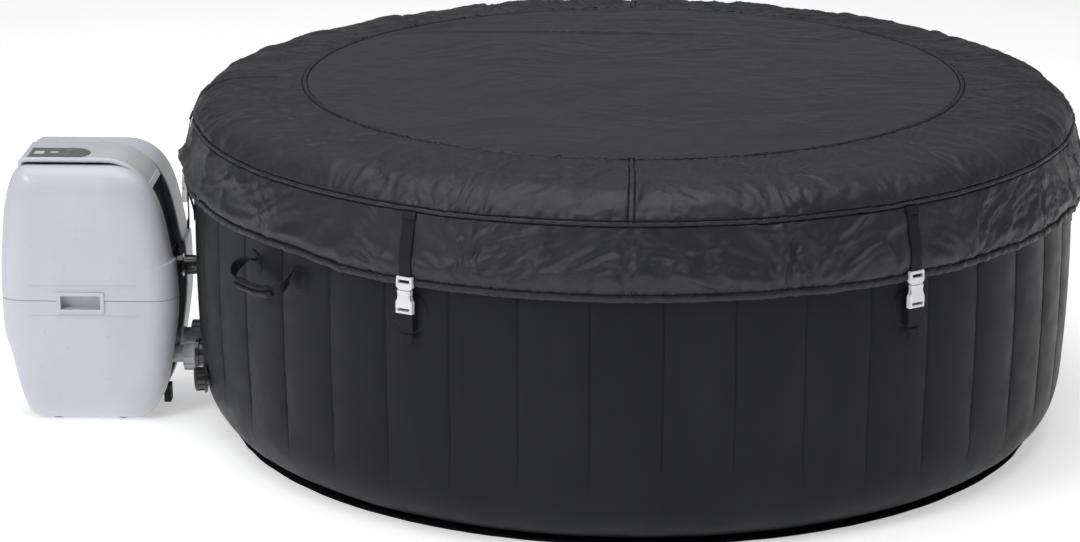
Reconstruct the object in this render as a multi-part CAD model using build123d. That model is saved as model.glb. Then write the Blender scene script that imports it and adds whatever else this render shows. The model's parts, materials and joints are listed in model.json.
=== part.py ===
from build123d import *
from math import cos, radians, sin, sqrt
import os

os.makedirs("parts", exist_ok=True)

# Millimetres. Origin at the middle of the tub's underside, +Z up, pump on the -X side.
# Angles are counted from the -Y side, so a point at angle a is (r sin a, -r cos a).

# tub
wall_radius = 895
foot_radius = 776
corner_height = 150
inner_radius = 661
ring_low = 540
ring_top = 678
ring_round = 75
sheet = 2
chambers = 42
first_beam = 3.9

# cover
seam_radius = 667
cover_gap = 4.5
cover_sheet = 1.5
centre_top = 710
lid_radius = 668
lid_low = 645
lid_top = 694
lid_sheet = 2

# straps, one angle for each
strap_angles = [-26.6, 34.7, 94, 154, 214, 273.5]
webbing = 25
webbing_thick = 1.5
buckle_z = 479
buckle_width = 34
buckle_height = 69
buckle_back = 910.6
buckle_thick = 11

# carry handles
handle_angles = [-48.6, 131.4]
anchor_half = 70
handle_axis_x = 906
handle_z = 457
handle_reach = 46
handle_slope = 26

# drain and inflation valves
drain_angle = -74.3
drain_z = 122
inflate_angle = -108
inflate_z = 400

# ports between pump and tub
water_y = [-85, 35]
water_z = 124
air_y = -25
air_z = 298

# pump
pump_x = -1103
pump_z = 270
near_rim = -140
far_rim = 90
strip_edge = 0
split_z = 264
pump_wall = 3
grip_x = -1117
grip_z = 261


def save(shape, name):
    shape.label = name
    export_step(shape, "parts/" + name + ".step")


def spin(section):
    return revolve(Plane.XZ * section, Axis.Z)


def at_angle(shape, angle):
    return Rot(0, 0, angle - 90) * shape


def around(shape, angles):
    return group([at_angle(shape, angle) for angle in angles])


def group(shapes):
    return Compound(children=[solid for shape in shapes for solid in shape.solids()])


def tube(outer, inner, start, end, y, z):
    # a pipe along X
    length = end - start
    place = Pos((start + end) / 2, y, z) * Rot(0, 90, 0)
    return place * (Cylinder(outer / 2, length) - Cylinder(inner / 2, length + 2))


def rod(diameter, start, end, y, z):
    length = end - start
    return Pos((start + end) / 2, y, z) * Rot(0, 90, 0) * Cylinder(diameter / 2, length)


def thick_line(line, thickness):
    # a closed face that follows a line with the same thickness on both sides
    return make_face(offset(line, amount=thickness / 2, side=Side.BOTH, closed=True).edges())


# ---- tub walls

def foot_line(grow):
    # the wall from the floor up to the top ring, moved outwards by grow
    corner = EllipticalCenterArc(
        (foot_radius, corner_height),
        112 + grow,
        corner_height - 4 + grow,
        start_angle=270,
        arc_size=90,
    )
    side = ThreePointArc(
        (foot_radius + 112 + grow, corner_height),
        (wall_radius - 1 + grow, 340),
        (wall_radius - 4 + grow, ring_low),
    )
    return corner, side


def wall_face(low, high):
    corner_in, side_in = foot_line(low)
    corner_out, side_out = foot_line(high)
    foot = Line(corner_in @ 0, corner_out @ 0)
    top = Line(side_in @ 1, side_out @ 1)
    return make_face([corner_in, side_in, top, side_out, corner_out, foot])


def ring_line(grow):
    # the rounded top of the tub, moved outwards by grow
    left = inner_radius - grow
    right = wall_radius - 4 + grow
    return FilletPolyline(
        (left, ring_low),
        (left, ring_top + grow),
        (right, ring_top + grow),
        (right, ring_low),
        radius=ring_round + grow,
    )


def ring_face(low, high):
    inner = ring_line(low)
    outer = ring_line(high)
    closing = [Line(inner @ 0, outer @ 0), Line(inner @ 1, outer @ 1)]
    return make_face(inner.edges() + outer.edges() + closing)


def port_holes(extra):
    # everything that passes through the air chamber
    holes = [rod(52 + extra, -930, -600, y, water_z) for y in water_y]
    holes.append(rod(26 + extra, -930, -680, air_y, air_z))
    drain = rod(34 + extra, 630, 930, 0, drain_z)
    holes.append(at_angle(drain, drain_angle))
    inflate = rod(30 + extra, 850, 930, 0, inflate_z)
    holes.append(at_angle(inflate, inflate_angle))
    return holes


def tub_floor():
    return Pos(0, 0, 1.5) * Cylinder(foot_radius, 3)


def base_flange():
    section = make_face(Polyline((776.4, 0), (828, 0), (828, 1.6), (800, 2.2), (776.4, 2.8), close=True))
    return spin(section)


def outer_wall():
    wall = spin(wall_face(-1, 1))
    for hole in port_holes(0.8):
        wall -= hole
    return wall


def top_ring():
    return spin(ring_face(-1, 1))


def inner_wall():
    section = Pos(inner_radius, (ring_low + 3.4) / 2) * Rectangle(sheet, ring_low - 3.6)
    wall = spin(section)
    for hole in port_holes(0.8):
        wall -= hole
    wall -= rod(26.8, -700, -650, air_y, 45)
    return wall


def wall_beams():
    # upright webs that tie the two walls together
    outline = [
        Line((inner_radius + 2, 120), (868, 120)),
        ThreePointArc((868, 120), (889, 330), (884, 530)),
        Line((884, 530), (inner_radius + 2, 530)),
        Line((inner_radius + 2, 530), (inner_radius + 2, 120)),
    ]
    web = extrude(Plane.XZ * make_face(outline), amount=0.75, both=True)
    holes = port_holes(6)
    webs = []
    for i in range(chambers):
        piece = at_angle(web, first_beam + i * 360 / chambers)
        for hole in holes:
            piece -= hole
        webs.append(piece)
    return group(webs)


def air_channel():
    # half-round duct with a ring of holes in its face
    outer = spin(Pos(inner_radius - 1.2, 44) * Ellipse(22, 24))
    inner = spin(Pos(inner_radius - 1.2, 44) * Ellipse(20, 22))
    room = Pos(0, 0, 44) * Cylinder(inner_radius - 1.2, 60)
    duct = (outer - inner) & room
    jets = PolarLocations(inner_radius - 22, chambers)
    for place in jets:
        duct -= place * Pos(0, 0, 50) * Rot(0, 90, 0) * Cylinder(2, 14)
    return duct


# ---- fittings in the wall

def water_fitting(y):
    reach = sqrt((inner_radius - 1) ** 2 - (abs(y) + 40) ** 2)
    body = tube(52, 42, -912, -reach + 8, y, water_z)
    body += tube(66, 42, -896.2, -890, y, water_z)
    body += tube(80, 42, -reach + 2, -reach + 8, y, water_z)
    return body


def water_fittings():
    return group([water_fitting(y) for y in water_y])


def air_fitting():
    path = FilletPolyline(
        (-905, air_y, air_z),
        (-690, air_y, air_z),
        (-690, air_y, 45),
        (-652, air_y, 45),
        radius=28,
    )
    start = Plane((-905, air_y, air_z), x_dir=(0, 1, 0), z_dir=(1, 0, 0))
    duct = sweep(start * Circle(13), path=path) - sweep(start * Circle(10), path=path)
    return duct + tube(40, 20, -900, -896.4, air_y, air_z)


def debris_screen():
    y = water_y[0]
    x = -sqrt((inner_radius - 1) ** 2 - (abs(y) + 40) ** 2) + 8.3
    ring = tube(78, 66, x, x + 12, y, water_z)
    plate = rod(66, x + 9, x + 12, y, water_z)
    for place in GridLocations(7.5, 7.5, 7, 7):
        spot = place.position
        if spot.X ** 2 + spot.Y ** 2 < 27 ** 2:
            plate -= rod(5, x, x + 20, y + spot.X, water_z + spot.Y)
    return ring + plate


def filter_start():
    return -sqrt((inner_radius - 1) ** 2 - (water_y[1] + 40) ** 2) + 8.3


def filter_housing():
    y = water_y[1]
    x = filter_start()
    can = tube(108, 102, x, x + 96, y, water_z) + tube(102, 42, x, x + 4, y, water_z)
    for i in range(12):
        slot = Pos(x + 50, 0, 53) * Box(64, 6, 12)
        can -= Pos(0, y, water_z) * Rot(i * 30, 0, 0) * slot
    return can


def filter_cartridge():
    x = filter_start()
    return tube(92, 40, x + 8, x + 92, water_y[1], water_z)


def filter_cap():
    y = water_y[1]
    x = filter_start()
    cap = rod(108, x + 96.6, x + 104, y, water_z)
    rib = Pos(x + 108, y, water_z) * Box(9, 70, 10)
    return cap + rib


def drain_body():
    body = tube(34, 26, 652, 908, 0, drain_z)
    body += tube(58, 26, 890, 894, 0, drain_z)
    body += tube(54, 26, 654, 658.6, 0, drain_z)
    return at_angle(body, drain_angle)


def screw_cap(diameter, bore, start, length, z, ribs):
    cap = tube(diameter, bore, start, start + length, 0, z) + rod(bore + 1, start + length - 3, start + length, 0, z)
    rib = Pos(start + length / 2, 0, diameter / 2) * Box(length - 3, 4, 4)
    for i in range(ribs):
        cap += Pos(0, 0, z) * Rot(i * 360 / ribs, 0, 0) * rib
    return cap


def drain_cap():
    return at_angle(screw_cap(46, 35, 895, 17, drain_z, 10), drain_angle)


def inflation_valve():
    body = tube(30, 22, 870, 902, 0, inflate_z) + tube(50, 22, 896.4, 899, 0, inflate_z)
    return at_angle(body, inflate_angle)


def inflation_cap():
    return at_angle(screw_cap(38, 31, 899.6, 7, inflate_z, 12), inflate_angle)


# ---- straps, buckles and handles on the tub

def round_patches(angles, z, diameter, low, high):
    skin = spin(wall_face(low, high))
    pads = []
    for angle in angles:
        pads.append(skin & at_angle(rod(diameter, 860, 930, 0, z), angle))
    return pads


def strap_patches():
    return round_patches(strap_angles, 440, 75, 1.2, 2.4)


def tub_strap():
    # sewn to its patch, up behind the socket and down again to a folded end
    line = FilletPolyline(
        (899, 404),
        (899, 426),
        (905, 450),
        (905, 462),
        (909.6, 462),
        (909.6, 388),
        radius=2,
    )
    strap = extrude(Plane.XZ * thick_line(line, webbing_thick), amount=webbing / 2, both=True)
    fold = Pos(910.9, 0, 393) * Box(2.6, webbing, 13)
    return strap + fold


def buckle_socket():
    half = buckle_width / 2
    low = buckle_z - buckle_height / 2
    outline = Polyline(
        (-half, low),
        (half, low),
        (half, buckle_z - 13),
        (14, buckle_z - 8),
        (12.5, buckle_z - 1),
        (14, buckle_z + 8.5),
        (-14, buckle_z + 8.5),
        (-12.5, buckle_z - 1),
        (-14, buckle_z - 8),
        (-half, buckle_z - 13),
        close=True,
    )
    face = Plane((buckle_back, 0, 0), x_dir=(0, 1, 0), z_dir=(1, 0, 0))
    body = extrude(face * make_face(outline), amount=buckle_thick)
    body = chamfer(body.faces().sort_by(Axis.X)[-1].edges(), 1.6)
    body -= Pos(buckle_back + 5.5, 0, buckle_z - 3) * Box(5.6, 21, 24)
    body -= Pos(buckle_back + 5, 0, low + 7.5) * Box(20, 25.6, 6)
    for side in (-1, 1):
        body -= Pos(buckle_back + 5.5, side * 13, buckle_z - 4.5) * Box(5.6, 8, 8)
    return body


def buckle_plug():
    half = buckle_width / 2
    high = buckle_z + buckle_height / 2
    outline = Polyline(
        (-half + 1, high),
        (half - 1, high),
        (half, buckle_z + 16),
        (11.5, buckle_z + 9),
        (-11.5, buckle_z + 9),
        (-half, buckle_z + 16),
        close=True,
    )
    face = Plane((buckle_back, 0, 0), x_dir=(0, 1, 0), z_dir=(1, 0, 0))
    body = extrude(face * make_face(outline), amount=buckle_thick - 2)
    body = chamfer(body.faces().sort_by(Axis.X)[-1].edges(), 1.4)
    body -= Pos(buckle_back + 5, 0, high - 8.5) * Box(20, 24, 7)
    middle = buckle_back + 5.5
    body += Pos(middle, 0, buckle_z + 1) * Box(4.6, 4, 18)
    for side in (-1, 1):
        body += Pos(middle, side * 7.8, buckle_z) * Box(4.6, 3.4, 20)
    return body


def handle_frame():
    # a plane that holds the hanging loop: x runs along the wall, y down and outwards
    slope = radians(handle_slope)
    return Plane(
        (handle_axis_x, 0, handle_z),
        x_dir=(0, 1, 0),
        z_dir=(sin(slope), 0, cos(slope)),
    )


def handle_path():
    low = -handle_reach
    return FilletPolyline((-anchor_half, 0), (-anchor_half + 6, low), (anchor_half - 6, low), (anchor_half, 0), radius=18)


def handle_loop():
    band = extrude(handle_frame() * thick_line(handle_path(), 3), amount=9, both=True)
    return band


def handle_grip():
    grip_half = anchor_half - 27
    line = Line((-grip_half, -handle_reach - 0.9), (grip_half, -handle_reach - 0.9))
    outer = extrude(handle_frame() * thick_line(line, 16), amount=12, both=True)
    room = handle_frame() * thick_line(handle_path(), 7)
    return outer - extrude(room, amount=9.6, both=True)


def handle_patches():
    offset_angle = 4.6
    angles = [a + side * offset_angle for a in handle_angles for side in (-1, 1)]
    return round_patches(angles, handle_z - 4, 56, 1.2, 2.4)


# ---- cover

def cover_line(grow):
    return ring_line(cover_gap + grow)


def cover_centre():
    middle = ThreePointArc((0, centre_top + 3), (seam_radius / 2, centre_top), (seam_radius - 1, 697))
    lower = ThreePointArc((0, centre_top + 1.5), (seam_radius / 2, centre_top - 1.5), (seam_radius - 1, 695.5))
    closing = [Line(middle @ 0, lower @ 0), Line(middle @ 1, lower @ 1)]
    return spin(make_face([middle, lower] + closing))


def cover_band():
    # from the inner seam over the ring to the outer seam
    line = FilletPolyline((seam_radius, 696.5), (740, 686.5), (822, 684), (870, 666), (888.6, 636.5), radius=40)
    return spin(thick_line(line, cover_sheet))


def cover_skirt():
    line = FilletPolyline((889.6, 633.6), (901, 592), (908, 545), (905, 511), radius=60)
    return spin(thick_line(line, cover_sheet))


def cover_hem():
    return spin(Pos(904, 504) * Ellipse(2.2, 5))


def cover_strap():
    line = FilletPolyline((892.6, 629), (903.6, 592), (910.4, 545), (909.2, 515), (909, 497), radius=30)
    strap = extrude(Plane.XZ * thick_line(line, webbing_thick), amount=webbing / 2, both=True)
    sewn = Pos(894.9, 0, 624) * Rot(0, -16, 0) * Box(3, webbing, 11)
    return strap + sewn


def lid_section(start, trim):
    # half of the flat inflated lid, drawn from start outwards and thinned by trim on every side
    top = lid_top - trim
    low = lid_low + trim
    side = lid_radius - trim
    line = FilletPolyline((start, low), (side, low), (side, top), (start, top), radius=22 - trim)
    return make_face(line.edges() + [Line((start, top), (start, low))])


def lid_bladder():
    bladder = spin(lid_section(0, 0)) - spin(lid_section(20, lid_sheet))
    return bladder - Pos(120, 0, lid_low) * Cylinder(8, 30)


# ---- pump

def pump_edges(inset):
    # the pump's outline, drawn in towards its middle by inset
    narrow = 1 - inset / 180
    lower = 1 - inset / 268

    def at(x, z):
        return (pump_x + (x - pump_x) * narrow, pump_z + (z - pump_z) * lower)

    return [
        Line(at(-1222, 539), at(-1056, 539)),
        Spline(at(-1056, 539), at(-991, 517), at(-955, 458), at(-930, 345), at(-923, 262), tangents=[(1, 0), (0, -1)]),
        Spline(at(-923, 262), at(-935, 150), at(-964, 44), at(-1027, 4), tangents=[(0, -1), (-1, 0)]),
        Line(at(-1027, 4), at(-1198, 4)),
        Spline(at(-1198, 4), at(-1247, 46), at(-1271, 150), at(-1284, 285), tangents=[(-1, 0), (0, 1)]),
        Spline(at(-1284, 285), at(-1276, 410), at(-1257, 506), at(-1222, 539), tangents=[(0, 1), (1, 0)]),
    ]


def pump_face(inset, y):
    level = Plane((0, y, 0), x_dir=(1, 0, 0), z_dir=(0, -1, 0))
    return level * make_face(pump_edges(inset))


def pump_slab(inset, y_low, y_high):
    return extrude(pump_face(inset, y_high), amount=y_high - y_low)


def pillow(inset, rim, way, rise):
    # domed side: the outline shrinks as it moves away from the rim
    steps = [(0, 0), (5, 0.42), (24, 0.82), (58, 1)]
    return loft([pump_face(inset + s, rim + way * rise * k) for s, k in steps])


def side_shell(rim, way, wrap):
    if way < 0:
        outer = pillow(0, rim, way, 40) + pump_slab(0, rim, rim + wrap)
        inner = pillow(pump_wall, rim, way, 37) + pump_slab(pump_wall, rim, rim + wrap + 1)
    else:
        outer = pillow(0, rim, way, 40) + pump_slab(0, rim - wrap, rim)
        inner = pillow(pump_wall, rim, way, 37) + pump_slab(pump_wall, rim - wrap - 1, rim)
    shell = outer - inner
    shell -= Pos(grip_x, rim + way * 40, grip_z) * Box(88, 20, 36)
    return shell


def above(shape):
    return shape & (Pos(pump_x, 0, split_z + 0.6 + 200) * Box(500, 600, 400))


def below(shape):
    return shape & (Pos(pump_x, 0, split_z - 0.6 - 200) * Box(500, 600, 400))


def ridge(rim, way, z):
    bar = Pos(pump_x - 8, rim + way * 40, z) * Box(216, 2, 2.6)
    return bar


def near_shell():
    return side_shell(near_rim, -1, 7)


def far_shell():
    shell = side_shell(far_rim, 1, far_rim - strip_edge)
    shell -= rod(39, -1000, -900, water_y[1], water_z)
    shell -= Pos(-1150, 130, 75) * Rot(90, 0, 0) * Cylinder(8.4, 40)
    return shell


def grip_cup(rim, way):
    face_y = rim + way * 40
    flange = Pos(grip_x, face_y + way * 1.8, grip_z) * Box(96, 3, 44)
    body = Pos(grip_x, face_y - way * 10, grip_z) * Box(86, 26, 34)
    hollow = Pos(grip_x, face_y - way * 8.5, grip_z) * Box(81, 25, 29)
    return flange + body - hollow


def spine():
    # raised tray over the top that runs down the corner on the tub side
    outline = [
        Line((-1238, 521), (-1233, 552)),
        Line((-1233, 552), (-1064, 552)),
        Spline((-1064, 552), (-1014, 536), (-975, 494), tangents=[(1, 0), (0.55, -1)]),
        Line((-975, 494), (-979, 491)),
        Spline((-979, 491), (-1018, 531), (-1064, 547), tangents=[(-0.55, 1), (-1, 0)]),
        Line((-1064, 547), (-1228, 547)),
        Line((-1228, 547), (-1232, 521)),
        Line((-1232, 521), (-1238, 521)),
    ]
    level = Plane((0, -2, 0), x_dir=(1, 0, 0), z_dir=(0, -1, 0))
    tray = extrude(level * make_face(outline), amount=130)
    tray -= lens_block(1.4, 3)
    return tray


def lens_outline(grow):
    left = -1221 - grow
    right = -1100 + grow
    low = -131 - grow
    high = -56 + grow
    middle = (low + high) / 2
    return make_face([
        Line((left, low), (right - 38, low)),
        ThreePointArc((right - 38, low), (right, middle), (right - 38, high)),
        Line((right - 38, high), (left, high)),
        Line((left, high), (left, low)),
    ])


def lens_block(grow, depth):
    return extrude(Pos(0, 0, 553.2 - depth) * lens_outline(grow), amount=depth + 1)


def button_spots():
    return [(-1172, -92), (-1144, -106), (-1144, -80)]


def control_lens():
    lens = extrude(Pos(0, 0, 550.6) * lens_outline(1), amount=2.6)
    for x, y in button_spots():
        lens -= Pos(x, y, 552) * extrude(Ellipse(9.4, 6.4), amount=6, both=True)
    lens -= Pos(-1203, -93, 553) * Box(20, 24, 1.6)
    return lens


def display():
    return Pos(-1203, -93, 552.9) * Box(19.4, 23.4, 1)


def button(x, y):
    return Pos(x, y, 551.4) * extrude(Ellipse(9, 6), amount=2.4)


def clip_box(x_low, x_high, z_low, z_high):
    middle = Pos((x_low + x_high) / 2, 0, (z_low + z_high) / 2)
    return middle * Box(x_high - x_low, 600, z_high - z_low)


def end_panel():
    band = pump_slab(5, near_rim + 8, strip_edge - 1) - pump_slab(8, near_rim, strip_edge)
    return band & clip_box(-1300, pump_x, 60, 518)


def back_panel():
    band = pump_slab(16, near_rim + 8, strip_edge - 1) - pump_slab(19, near_rim, strip_edge)
    panel = band & clip_box(pump_x, -900, 62, 483)
    panel -= rod(38.4, -1000, -900, water_y[0], water_z)
    panel -= rod(44, -1000, -900, air_y, air_z)
    return panel


def base_tray():
    block = pump_slab(6, near_rim + 8, strip_edge - 1) & clip_box(-1300, -900, 5, 58)
    block -= pump_slab(10, near_rim + 12, strip_edge - 5) & clip_box(-1300, -900, 12, 80)
    for x, y in screw_spots():
        block -= Pos(x, y, 10) * Cylinder(2.4, 40)
        block -= Pos(x, y, 7) * Cylinder(4.6, 5)
    return block


def screw_spots():
    return [(x, y) for x in (-1190, -1112, -1034) for y in (-112, -26)]


def base_screws():
    screws = []
    for x, y in screw_spots():
        head = Pos(x, y, 8) * Cylinder(4.2, 2.4)
        shank = Pos(x, y, 17) * Cylinder(2, 16)
        screws.append(head + shank)
    return group(screws)


def feet():
    pads = []
    for x in (-1180, -1046):
        for y in (-125, 75):
            pads.append(Pos(x, y, 1.9) * Cylinder(13, 3.8))
    pads.append(Pos(-968, -20, 18) * Box(14, 30, 36))
    return group(pads)


def water_pipe(y):
    return tube(37, 31, -1000, -912.4, y, water_z) + tube(50, 31, -917.6, -912.4, y, water_z)


def water_pipes():
    return group([water_pipe(y) for y in water_y])


def union_nut(y):
    nut = tube(64, 53, -921, -896.8, y, water_z) + tube(64, 38.4, -921, -918, y, water_z)
    rib = Pos(-909, 0, 32) * Box(22, 7, 6)
    for i in range(12):
        nut += Pos(0, y, water_z) * Rot(i * 30, 0, 0) * rib
    return nut & rod(70, -921, -896.8, y, water_z)


def union_nut_air():
    nut = tube(38, 32, -924, -900.6, air_y, air_z) + tube(38, 27.4, -924, -921, air_y, air_z)
    rib = Pos(-912, 0, 19) * Box(20, 4, 3)
    for i in range(10):
        nut += Pos(0, air_y, air_z) * Rot(i * 36, 0, 0) * rib
    return nut


def air_pipe():
    # pipe with its moulded collar, which stands against the back panel
    pipe = tube(26, 20, -1052, -905.4, air_y, air_z)
    pipe += tube(31, 20, -920.4, -917.6, air_y, air_z)
    pipe += tube(48, 24, -937, -926, air_y, air_z)
    return pipe + tube(42, 24, -955, -937, air_y, air_z)


def water_motor():
    y = water_y[0]
    can = rod(78, -1205, -1104, y, water_z) + rod(12, -1222, -1205, y, water_z)
    return can - rod(8.2, -1180, -1100, y, water_z)


def pump_volute():
    y = water_y[0]
    case = tube(92, 80, -1066, -1038, y, water_z)
    back = tube(92, 12, -1072, -1066, y, water_z)
    front = tube(92, 31, -1038, -1032, y, water_z) + tube(40, 37.4, -1032, -996, y, water_z)
    neck = Pos(-1052, y, water_z + 52) * (Cylinder(13, 24) - Cylinder(10, 30))
    body = case + back + front
    body -= Pos(-1052, y, water_z + 43) * Cylinder(10, 12)
    return body + neck


def impeller():
    y = water_y[0]
    wheel = rod(64, -1064, -1060, y, water_z) + rod(8, -1170, -1060, y, water_z)
    vane = Pos(-1056, 0, 18) * Rot(24, 0, 0) * Box(10, 2.4, 22)
    for i in range(6):
        wheel += Pos(0, y, water_z) * Rot(i * 60, 0, 0) * vane
    return wheel


def heater():
    y = water_y[1]
    can = tube(56, 50, -1210, -1010, y, water_z)
    can += tube(56, 31, -1010, -1004, y, water_z) + tube(40, 37.4, -1004, -996, y, water_z)
    can += rod(56, -1214, -1210, y, water_z)
    neck = Pos(-1180, y, water_z + 38) * (Cylinder(13, 22) - Cylinder(10, 30))
    can -= Pos(-1180, y, water_z + 26) * Cylinder(10, 10)
    return can + neck


def water_hose():
    path = FilletPolyline(
        (-1052, water_y[0], water_z + 64.4),
        (-1052, water_y[0], 226),
        (-1180, water_y[1], 226),
        (-1180, water_y[1], water_z + 49.4),
        radius=26,
    )
    start = Plane((-1052, water_y[0], water_z + 64.4), x_dir=(1, 0, 0), z_dir=(0, 0, 1))
    return sweep(start * Circle(13), path=path) - sweep(start * Circle(10), path=path)


def along_y(shape, x, y, z):
    return Pos(x, y, z) * Rot(90, 0, 0) * shape


def blower_housing():
    drum = along_y(Cylinder(72, 64), -1130, air_y, 352)
    room = along_y(Cylinder(68, 58), -1130, air_y, 352)
    outlet = tube(42, 26.4, -1090, -1050, air_y, air_z)
    body = drum + outlet - room
    body -= along_y(Cylinder(8, 40), -1130, air_y + 40, 352)
    body -= along_y(Cylinder(26, 40), -1130, air_y - 40, 352)
    return body - rod(26.4, -1110, -1040, air_y, air_z)


def blower_fan():
    hub = along_y(Cylinder(58, 3), -1130, air_y + 20, 352) + along_y(Cylinder(6, 60), -1130, air_y + 48, 352)
    blade = Pos(48, 0, 0) * Box(18, 2.4, 34)
    for i in range(16):
        hub += along_y(Rot(0, 0, i * 22.5) * blade, -1130, air_y + 2, 352)
    return hub


def blower_motor():
    can = along_y(Cylinder(34, 50), -1130, air_y + 59, 352)
    return can - along_y(Cylinder(6.4, 60), -1130, air_y + 50, 352)


def circuit_board():
    board = Pos(-1140, -66, 500) * Box(150, 110, 1.6)
    for x in (-1190, -1150, -1110):
        board += Pos(x, -60, 507) * Box(24, 30, 13)
    return board


def cord_gland():
    ring = Cylinder(14, 8) - Cylinder(4.2, 20)
    stem = Cylinder(8, 30) - Cylinder(4.2, 40)
    return along_y(ring, -1150, 134.6, 75) + along_y(stem, -1150, 118, 75)


def export_tub():
    save(tub_floor(), "tub_floor")
    save(base_flange(), "base_flange")
    save(outer_wall(), "outer_wall")
    save(top_ring(), "top_ring")
    save(inner_wall(), "inner_wall")
    save(wall_beams(), "wall_beams")
    save(air_channel(), "air_channel")
    save(water_fittings(), "water_fittings")
    save(air_fitting(), "air_fitting")
    save(debris_screen(), "debris_screen")
    save(filter_housing(), "filter_housing")
    save(filter_cartridge(), "filter_cartridge")
    save(filter_cap(), "filter_cap")
    save(drain_body(), "drain_body")
    save(drain_cap(), "drain_cap")
    save(inflation_valve(), "inflation_valve")
    save(inflation_cap(), "inflation_cap")


def export_straps():
    save(group(strap_patches() + handle_patches()), "wall_patches")
    save(around(tub_strap(), strap_angles), "tub_straps")
    save(around(buckle_socket(), strap_angles), "buckle_sockets")
    save(around(buckle_plug(), strap_angles), "buckle_plugs")
    save(around(cover_strap(), strap_angles), "cover_straps")
    for name, angle in zip(["front", "rear"], handle_angles):
        both = [at_angle(handle_loop(), angle), at_angle(handle_grip(), angle)]
        save(group(both), "handle_" + name)


def export_cover():
    save(cover_centre(), "cover_centre")
    save(cover_band(), "cover_band")
    save(cover_skirt(), "cover_skirt")
    save(cover_hem(), "cover_hem")
    save(lid_bladder(), "lid_bladder")


def export_pump_case():
    near = near_shell()
    far = far_shell()
    save(above(near) + ridge(near_rim, -1, 296), "shell_near_upper")
    save(below(near) + ridge(near_rim, -1, 232), "shell_near_lower")
    save(above(far) + ridge(far_rim, 1, 296), "shell_far_upper")
    save(below(far) + ridge(far_rim, 1, 232), "shell_far_lower")
    save(group([grip_cup(near_rim, -1), grip_cup(far_rim, 1)]), "grip_cups")
    save(spine(), "spine")
    save(control_lens(), "control_lens")
    save(display(), "display")
    for name, spot in zip(["heat", "up", "down"], button_spots()):
        save(button(*spot), "button_" + name)
    save(end_panel(), "end_panel")
    save(back_panel(), "back_panel")
    save(base_tray(), "base_tray")
    save(base_screws(), "base_screws")
    save(feet(), "feet")


def export_pump_works():
    save(water_pipes(), "water_pipes")
    save(union_nut(water_y[0]), "union_nut_near")
    save(union_nut(water_y[1]), "union_nut_far")
    save(union_nut_air(), "union_nut_air")
    save(air_pipe(), "air_pipe")
    save(water_motor(), "water_motor")
    save(pump_volute(), "pump_volute")
    save(impeller(), "impeller")
    save(heater(), "heater")
    save(water_hose(), "water_hose")
    save(blower_housing(), "blower_housing")
    save(blower_motor(), "blower_motor")
    save(blower_fan(), "blower_fan")
    save(circuit_board(), "circuit_board")
    save(cord_gland(), "cord_gland")


export_tub()
export_straps()
export_cover()
export_pump_case()
export_pump_works()
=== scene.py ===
import bmesh
import bpy
import json
import math
import time
import numpy as np
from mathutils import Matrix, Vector


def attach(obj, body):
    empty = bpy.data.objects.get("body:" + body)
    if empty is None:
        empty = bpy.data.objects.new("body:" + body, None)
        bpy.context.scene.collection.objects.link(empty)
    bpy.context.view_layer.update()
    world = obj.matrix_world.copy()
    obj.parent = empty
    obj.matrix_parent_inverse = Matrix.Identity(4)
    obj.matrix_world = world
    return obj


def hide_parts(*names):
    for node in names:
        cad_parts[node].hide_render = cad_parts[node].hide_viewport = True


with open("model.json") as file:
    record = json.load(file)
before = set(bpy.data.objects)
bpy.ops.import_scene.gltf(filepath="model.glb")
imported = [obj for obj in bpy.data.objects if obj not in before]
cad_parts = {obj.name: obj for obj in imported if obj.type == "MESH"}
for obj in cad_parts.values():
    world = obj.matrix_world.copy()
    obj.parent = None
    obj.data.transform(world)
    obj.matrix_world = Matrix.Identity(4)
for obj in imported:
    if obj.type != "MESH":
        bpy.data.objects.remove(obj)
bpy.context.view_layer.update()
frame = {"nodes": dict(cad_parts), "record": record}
print("frame loaded")


def linkPiece(mesh, name):
    piece = bpy.data.objects.new(name, mesh)
    bpy.context.scene.collection.objects.link(piece)
    return piece


def quadMesh(name, points, quads):
    # a smooth mesh from its points and the four corners of each face
    mesh = bpy.data.meshes.new(name)
    mesh.vertices.add(points.size // 3)
    mesh.vertices.foreach_set("co", points.reshape(-1).astype(np.float32))
    mesh.loops.add(quads.size)
    mesh.loops.foreach_set("vertex_index", quads.reshape(-1).astype(np.int32))
    mesh.polygons.add(len(quads))
    mesh.polygons.foreach_set("loop_start", np.arange(len(quads), dtype=np.int32) * 4)
    mesh.polygons.foreach_set("use_smooth", np.ones(len(quads), dtype=bool))
    mesh.update(calc_edges=True)
    return mesh


def gridPiece(name, points, uv=None, around=False, flip=False):
    # points is rows by columns by 3, and each cell of the grid becomes one quad
    rows, columns = points.shape[:2]
    row = np.arange(rows - 1)[:, None]
    column = np.arange(columns if around else columns - 1)[None, :]
    following = (column + 1) % columns
    corners = [row * columns + column, row * columns + following,
               (row + 1) * columns + following, (row + 1) * columns + column]
    quads = np.stack(np.broadcast_arrays(*corners), -1).reshape(-1, 4)
    if flip:
        quads = quads[:, ::-1]
    mesh = quadMesh(name, points, quads)
    if uv is not None:
        layer = mesh.uv_layers.new(name="panel")
        flat = uv.reshape(-1, 2)[quads.reshape(-1)].copy()
        if around:
            # the last column meets the first one, so its far corners are moved one turn on
            turn = uv[0, -1, 0] + (uv[0, 1, 0] - uv[0, 0, 0])
            last = np.broadcast_to(column == columns - 1, (rows - 1, columns)).reshape(-1)
            wrap = flat.reshape(-1, 4, 2)
            first = quads % columns == 0
            wrap[..., 0] = np.where(first & last[:, None], turn, wrap[..., 0])
            flat = wrap.reshape(-1, 2)
        layer.data.foreach_set("uv", flat.reshape(-1).astype(np.float32))
    mesh.validate()
    return linkPiece(mesh, name)


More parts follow.
